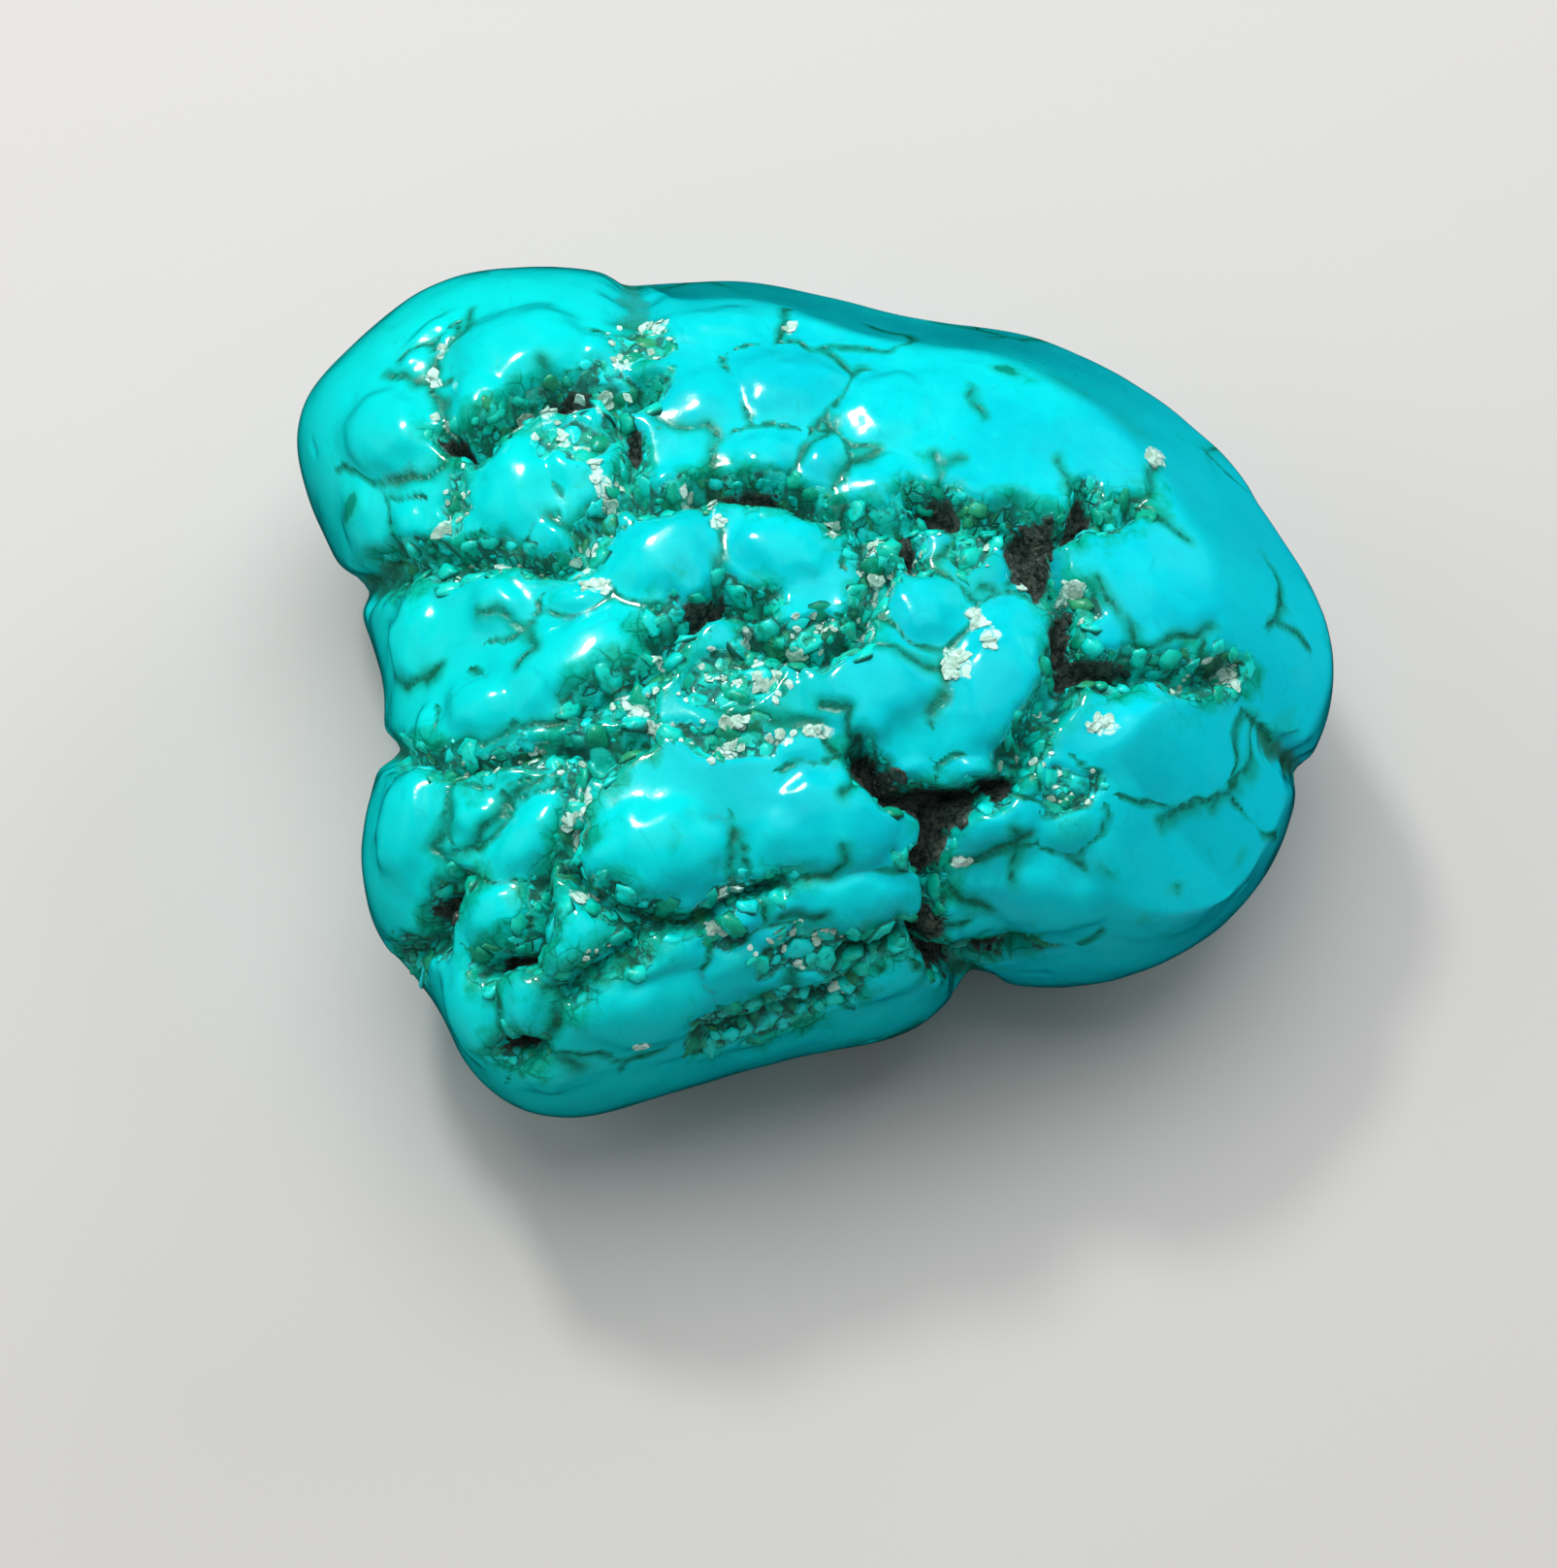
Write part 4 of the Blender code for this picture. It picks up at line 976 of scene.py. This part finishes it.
def granular_group():
    """Mottled stone from blue to green by its pick, darker towards the edge of a grain."""
    group = bpy.data.node_groups.new("granular stone", "ShaderNodeTree")
    for way, name, kind in (
        ("INPUT", "Place", "NodeSocketVector"), ("INPUT", "Pick", "NodeSocketFloat"),
        ("INPUT", "Edge", "NodeSocketFloat"),
        ("OUTPUT", "Colour", "NodeSocketColor"), ("OUTPUT", "Height", "NodeSocketFloat"),
    ):
        group.interface.new_socket(name=name, in_out=way, socket_type=kind)
    given = group.nodes.new("NodeGroupInput").outputs
    recipe = Recipe(group)
    ramp, blended, mottle = recipe.ramp, recipe.blended, recipe.mottle
    tint = recipe.add("ValToRGB", {"Fac": given["Pick"]})
    stops = tint.color_ramp.elements
    for position, _ in GRAIN_TINTS[2:]:
        stops.new(position)
    for stop, (position, colour) in zip(stops, GRAIN_TINTS):
        stop.position = position
        stop.color = colour
    cloud = mottle("grain clouds", given["Place"])
    colour = blended(ramp("dark grain", cloud), tint.outputs["Color"], WEB_GREEN)
    colour = blended(ramp("pale grain", cloud), colour, PALE_BLUE)
    colour = blended(ramp("grain edge", given["Edge"]), colour, VEIN_GREEN)
    rock = blended(ramp("rock tone", cloud), ROCK_BLACK, ROCK_GREY)
    colour = blended(ramp("rock grain", given["Pick"]), colour, rock)
    height = recipe.times(mottle("grain relief", given["Place"]), GRAIN_RELIEF)
    height = recipe.plus(height, ramp("grain swell", given["Edge"]))
    recipe.fill(group.nodes.new("NodeGroupOutput").inputs, {"Colour": colour, "Height": height})
    return group


def turquoise_material(granular):
    """Polished blue stone with green and dark veins, dark host rock in its gaps and cream flecks."""
    material, recipe, shader = new_material("turquoise")
    ramp, blended, kept, mottle, cells = recipe.ramp, recipe.blended, recipe.kept, recipe.mottle, recipe.cells
    plus, minus, times, larger, shifted = recipe.plus, recipe.minus, recipe.times, recipe.larger, recipe.shifted
    place = recipe.place()
    bend = {0: mottle("bend", place, "Color"), "Scale": BEND * MM}
    bend = recipe.add("VectorMath", bend, operation="SCALE").outputs[0]
    bent = recipe.add("VectorMath", {0: place, 1: bend}, operation="ADD").outputs[0]
    wide_hollow, vein, stain = kept("wide_hollow"), kept("vein"), kept("stain")
    ragged = mottle("ragged", place)
    uneven = minus(ragged, MOTTLE_MIDDLE, clamp=False)

    # the blue, deeper and paler in clouds, paler and greener towards the left, and darker and bluer towards the
    # right as painted shade
    cloud, fine_cloud = mottle("clouds", bent), mottle("fine clouds", bent)
    colour = blended(ramp("clouds", cloud), DEEP_BLUE, BRIGHT_BLUE)
    colour = blended(ramp("pale clouds", fine_cloud), colour, PALE_BLUE)
    colour = blended(ramp("dark clouds", fine_cloud), colour, DARK_TEAL)
    across = recipe.add("SeparateXYZ", {"Vector": place}).outputs["X"]
    colour = blended(ramp("left", across), colour, LEFT_BLUE)
    # painted shade: the right side darkened and turned bluer
    colour = blended(ramp("right", across), colour, SHADED_RIGHT_BLUE)

    # faint net of old cracks
    net = ramp("net", cells(bent, NET_SIZE))
    colour = blended(times(net, ramp("net cover", fine_cloud)), colour, DARK_TEAL)

    # veins of the unlisted sides: a broken net with green beside it
    side_net = cells(bent, SIDE_NET_SIZE)
    side_cover = times(ramp("side cover", mottle("side cover", place)), kept("side"))
    colour = blended(times(ramp("side green", side_net), side_cover), colour, MOSS_GREEN)
    colour = blended(times(ramp("side line", side_net), side_cover), colour, VEIN_LINE)

    # green towards the hollows, in stains and beside veins
    green = plus(times(stain, STAIN_SHARE), ramp("green hollow", wide_hollow))
    green = times(plus(green, ramp("green vein", vein)), ramp("green cover", fine_cloud))
    colour = blended(green, colour, STONE_GREEN)
    colour = blended(ramp("dark stain", plus(stain, uneven, clamp=False)), colour, WEB_GREEN)

    # moss, and a web of dark green veins round small cells, thicker near the gaps
    close = larger(kept("near_gap"), times(wide_hollow, HOLLOW_CLOSENESS))
    close = plus(close, times(minus(cloud, MOTTLE_MIDDLE, clamp=False), CLOUD_CLOSENESS, clamp=False))
    web_edge = minus(ramp("web width", close), cells(bent, WEB_SIZE), clamp=False)
    web = times(ramp("web edge", web_edge), ramp("web", close))
    fine_edge = minus(ramp("fine web width", close), cells(bent, FINE_WEB_SIZE), clamp=False)
    fine_web = times(ramp("web edge", fine_edge), ramp("fine web", close))
    patchy = mottle("moss", bent)
    moss = plus(patchy, times(close, MOSS_CLOSENESS), clamp=False)
    colour = blended(ramp("moss", moss), colour, MOSS_GREEN)
    colour = blended(ramp("dark moss", moss), colour, WEB_GREEN)
    green_cells = times(ramp("green pick", recipe.cell_pick(bent, WEB_SIZE)), ramp("green cells", close))
    colour = blended(green_cells, colour, STONE_GREEN)
    colour = blended(larger(web, fine_web), colour, WEB_GREEN)

    # darker rings round the hollows, and the veins
    ring = ramp("ring", plus(kept("fine_hollow"), uneven, clamp=False))
    colour = blended(times(ring, RING_SHARE), colour, VEIN_GREEN)
    uneven_vein = shifted(vein, uneven, VEIN_RAGGED)
    colour = blended(ramp("vein halo", uneven_vein), colour, WEB_GREEN)
    line = times(ramp("vein", uneven_vein), ramp("vein breaks", patchy))
    colour = blended(times(line, VEIN_SHARE), colour, VEIN_LINE)

    # granular ground, of small cells among the larger ones
    ground = ramp("ground", shifted(kept("zone"), uneven, GROUND_RAGGED))
    small_edge = ramp("small edge", cells(bent, SMALL_CELL_SIZE))
    small = ramp("small cells", mottle("small cells", place))
    edge = recipe.maths("MINIMUM", kept("cell_edge"), plus(small_edge, minus(1.0, small)))
    pick = {0: small, 2: kept("cell_pick"), 3: recipe.cell_pick(bent, SMALL_CELL_SIZE)}
    pick = times(recipe.add("Mix", pick, data_type="FLOAT").outputs[0], PICK_SHARE)
    look = recipe.add("Group", {"Place": place, "Pick": pick, "Edge": edge}, node_tree=granular).outputs
    colour = blended(times(ground, GROUND_SHARE), colour, look["Colour"])

    # cream flecks, flush with the stone, and dark host rock where the gaps are deepest
    fleck = ramp("fleck", shifted(kept("fleck"), uneven, FLECK_RAGGED))
    colour = blended(times(fleck, ramp("fleck cells", small_edge)), colour, FLECK_CREAM)
    rock = ramp("rock", shifted(kept("deep"), uneven, ROCK_RAGGED))
    colour = blended(rock, colour, blended(ramp("rock tone", ragged), ROCK_BLACK, ROCK_GREY))

    # polish on the lumps, rough in the gaps
    rough = larger(larger(rock, times(ground, GROUND_ROUGH)), times(ring, RING_ROUGH))
    roughness = plus(ramp("rough", rough), ramp("smear", mottle("smear", place)))

    # pits and grain too fine for the mesh
    relief = times(mottle("fine grain", place), ramp("fine grain", rough), clamp=False)
    pits = times(ramp("pits", cells(bent, PIT_SIZE, "F1")), ramp("pit depth", rough), clamp=False)
    relief = minus(plus(relief, pits, clamp=False), times(line, LINE_RELIEF), clamp=False)
    pillows = times(look["Height"], times(ground, PILLOW_RELIEF, clamp=False), clamp=False)
    recipe.fill(shader, {
        "Base Color": colour, "Roughness": roughness, "Coat Weight": minus(1.0, rough),
        "Normal": recipe.bump(plus(relief, pillows, clamp=False), STONE_BUMP), "IOR": STONE_IOR,
        "Specular IOR Level": STONE_SPECULAR, "Coat Roughness": COAT_ROUGHNESS,
    })
    return material


def grain_material(granular):
    """Small grains of green and blue stone, a little duller than the islands."""
    material, recipe, shader = new_material("green grains")
    edge = recipe.ramp("grain foot", recipe.kept("foot"))
    inputs = {"Place": recipe.place(), "Pick": recipe.kept("tint"), "Edge": edge}
    look = recipe.add("Group", inputs, node_tree=granular).outputs
    normal = recipe.bump(look["Height"], GRAIN_BUMP)
    recipe.fill(shader, {"Base Color": look["Colour"], "Roughness": GRAIN_ROUGHNESS, "Normal": normal})
    return material


def chip_material():
    """Cream chips of a softer mineral."""
    material, recipe, shader = new_material("cream chips")
    place = recipe.place()
    tone = recipe.ramp("chip tone", recipe.mottle("chip clouds", place))
    tone = recipe.plus(tone, recipe.minus(recipe.kept("tint"), TINT_MIDDLE, clamp=False))
    colour = recipe.blended(tone, FLECK_TAN, FLECK_CREAM)
    normal = recipe.bump(recipe.mottle("chip relief", place), CHIP_BUMP)
    recipe.fill(shader, {"Base Color": colour, "Roughness": CHIP_ROUGHNESS, "Normal": normal})
    return material


def card_material():
    """Pale matt studio card."""
    material, recipe, shader = new_material("studio card")
    recipe.fill(shader, {"Base Color": CARD_COLOUR, "Roughness": CARD_ROUGHNESS})
    return material


def placed_on(centre, normal, turn):
    """A move to this centre, with the piece turned to stand on the surface."""
    return Matrix.Translation(centre) @ Matrix(axes_on(normal, SIDE_HINT, turn).T).to_4x4()


def spread_apart(points, radii):
    """Pick points one after another, and leave out those that crowd the ones picked."""
    picked = []
    for index, point in enumerate(points):
        if picked:
            away = np.linalg.norm(points[picked] - point, axis=1)
            if np.any(away < GRAIN_APART * (radii[picked] + radii[index])):
                continue
        picked.append(index)
    return picked


def finished(name, mesh):
    """Turn a bmesh into a mesh."""
    data = bpy.data.meshes.new(name)
    mesh.to_mesh(data)
    mesh.free()
    return data


def plain_shape(name, make, sizes):
    """One round shape, for copies."""
    mesh = bmesh.new()
    make(mesh, radius=1, **sizes)
    return finished(name, mesh)


def add_copy(mesh, plain, transform):
    """Add a copy of a plain mesh, moved into its place, and give back its vertices."""
    before = len(mesh.verts)
    mesh.from_mesh(plain)
    mesh.verts.ensure_lookup_table()
    added = mesh.verts[before:]
    for vert in added:
        vert.co = transform @ vert.co
    return added


def grain_mesh(ball):
    """Grains of green stone in the granular ground and along the gaps."""
    chance = np.random.default_rng(GRAIN_SEED)
    above = ball.stone[:, 2] > GRAIN_CLEAR_OF_FLOOR
    ground = np.flatnonzero((ball.zone > GRAIN_GROUND) & above & ball.grown)
    tries = chance.choice(ground, min(GRAIN_TRIES, len(ground)), replace=False)
    radii = chance.uniform(*GRAIN_RADIUS, len(tries)) * (1 - PIT_GRAIN_LESS * ball.near_pit[tries])
    plain = plain_shape("plain_grain", bmesh.ops.create_uvsphere, GRAIN_SHAPE)
    order = np.argsort(-radii + chance.uniform(*GRAIN_SHUFFLE, len(tries)))
    tries, radii = tries[order], radii[order]
    mesh = bmesh.new()
    tint = mesh.verts.layers.float.new("tint")
    foot = mesh.verts.layers.float.new("foot")
    for index in spread_apart(ball.stone[tries], radii):
        radius = float(radii[index])
        vertex = tries[index]
        point, normal = ball.stone[vertex], ball.outward[vertex]
        flat = chance.uniform(*GRAIN_FLATNESS)
        long = chance.uniform(*GRAIN_STRETCH)
        shade = chance.uniform(0, 1) ** GRAIN_PALER * (1 - GRAIN_DEEPER) + GRAIN_DEEPER * ball.deep[vertex]
        if ball.pit[vertex] > chance.uniform(*PIT_GRAIN_START):
            shade = chance.uniform(*PIT_TINT)
        placed = placed_on(point + normal * radius * GRAIN_LIFT, normal, chance.uniform(0, pi))
        size = Matrix.Diagonal((radius * long, radius / long, radius * flat, 1))
        for vert in add_copy(mesh, plain, placed @ size):
            vert[tint] = shade
            vert[foot] = (1 + (vert.co - Vector(point)).dot(Vector(normal)) / (radius * flat)) / 2
            vert.co += noise.noise_vector(vert.co / radius) * radius * GRAIN_LUMPINESS
            vert.co.z = max(vert.co.z, 0)
    return mesh


def chip_mesh(ball):
    """Cream chips: clusters where they are listed, and small ones strewn over the granular ground."""
    chance = np.random.default_rng(CHIP_SEED)
    layout = to_layout(ball.stone)
    plain = plain_shape("plain_chip", bmesh.ops.create_icosphere, CHIP_SHAPE)
    mesh = bmesh.new()
    tint = mesh.verts.layers.float.new("tint")

    def add_chip(vertex, size):
        """One chip on the stone."""
        normal = ball.outward[vertex]
        placed = placed_on(ball.stone[vertex] + normal * CHIP_LIFT, normal, chance.uniform(0, pi))
        tilt = Matrix.Rotation(chance.uniform(*CHIP_TILT), 4, "X")
        scale = Matrix.Diagonal((size * chance.uniform(*CHIP_STRETCH), size, size * CHIP_FLATNESS, 1))
        shade = chance.uniform(0, 1)
        for vert in add_copy(mesh, plain, placed @ tilt @ scale):
            vert[tint] = shade
            vert.co += noise.noise_vector(vert.co / size) * size * CHIP_LUMPINESS

    for across, up, half_length, half_breadth, turn in FLECKS:
        slant = radians(turn)
        for _ in range(1 + int(half_length * half_breadth / CHIP_SHARE)):
            reach = chance.uniform(0, 1) ** 0.5
            angle = chance.uniform(0, 2 * pi)
            along, aside = half_length * reach * cos(angle), half_breadth * reach * sin(angle)
            right = across + along * cos(slant) - aside * sin(slant)
            rise = up + along * sin(slant) + aside * cos(slant)
            add_chip(nearest_to(layout, right, rise), chance.uniform(*CHIP_SIZE))
    ground = np.flatnonzero((ball.patch > LOOSE_CHIP_GROUND) & (ball.pit < LOOSE_CHIP_PIT))
    for vertex in chance.choice(ground, LOOSE_CHIPS, replace=False):
        add_chip(vertex, chance.uniform(*LOOSE_CHIP_SIZE))
    return mesh


def in_scene(name, data):
    """An object with this data, in the scene."""
    thing = bpy.data.objects.new(name, data)
    bpy.context.scene.collection.objects.link(thing)
    return thing


def make_floor():
    """A flat pale floor under the stone."""
    mesh = bmesh.new()
    bmesh.ops.create_grid(mesh, x_segments=1, y_segments=1, size=FLOOR_SIZE / 2)
    floor = in_scene("studio_floor", finished("studio_floor", mesh))
    floor.data.materials.append(card_material())
    floor.visible_glossy = False


def make_light(name, place, size, watts, colour, glossy):
    """A soft round light that looks at the stone."""
    data = bpy.data.lights.new(name, "AREA")
    data.shape = "DISK"
    data.size = size
    data.energy = watts
    data.color = colour
    light = in_scene(name, data)
    light.visible_glossy = glossy
    light.location = place
    aim = Vector(STONE_MIDDLE) * MM - Vector(place)
    light.rotation_euler = aim.to_track_quat("-Z", "Y").to_euler()


def make_camera():
    """Look down on the stone from the front."""
    data = bpy.data.cameras.new("camera")
    data.sensor_width = SENSOR_WIDTH
    data.lens = FOCAL_PIXELS / PICTURE_HEIGHT * SENSOR_WIDTH
    data.shift_x = -(MIDDLE_ACROSS - PICTURE_WIDTH / 2) / PICTURE_HEIGHT
    data.shift_y = (MIDDLE_DOWN - PICTURE_HEIGHT / 2) / PICTURE_HEIGHT
    data.clip_start = CLIP_START
    camera = in_scene("camera", data)
    out = Vector(LAYOUT_OUT)
    camera.location = Vector(STONE_MIDDLE) * MM + CAMERA_DISTANCE * out
    camera.rotation_euler = (-out).to_track_quat("-Z", "Y").to_euler()
    bpy.context.scene.camera = camera


def make_world():
    """Even pale light from all round."""
    world = bpy.data.worlds.new("studio")
    world.use_nodes = True
    background = world.node_tree.nodes["Background"]
    background.inputs["Color"].default_value = WORLD_COLOUR
    background.inputs["Strength"].default_value = WORLD_STRENGTH
    bpy.context.scene.world = world
    world.cycles_visibility.glossy = False


def show(name, data, material):
    """Show a finished piece on the stone's body."""
    data.materials.append(material)
    piece = in_scene(name, data)
    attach(piece, "root")
    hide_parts("nugget")


def main():
    """Make the stone, its grains and chips, and the studio."""
    ball = FineBall("turquoise_nugget")
    nugget_shape(ball)
    granular = granular_group()
    show("turquoise_nugget", ball.data, turquoise_material(granular))
    for name, mesh, material, smooth in (
        ("green_grains", grain_mesh(ball), grain_material(granular), True),
        ("cream_chips", chip_mesh(ball), chip_material(), False),
    ):
        for face in mesh.faces:
            face.smooth = smooth
        bmesh.ops.scale(mesh, vec=(MM, MM, MM), verts=mesh.verts[:])
        show(name, finished(name, mesh), material)
    make_floor()
    for light in LIGHTS:
        make_light(*light)
    make_world()
    make_camera()
    bpy.context.scene.view_settings.view_transform = "Standard"


main()
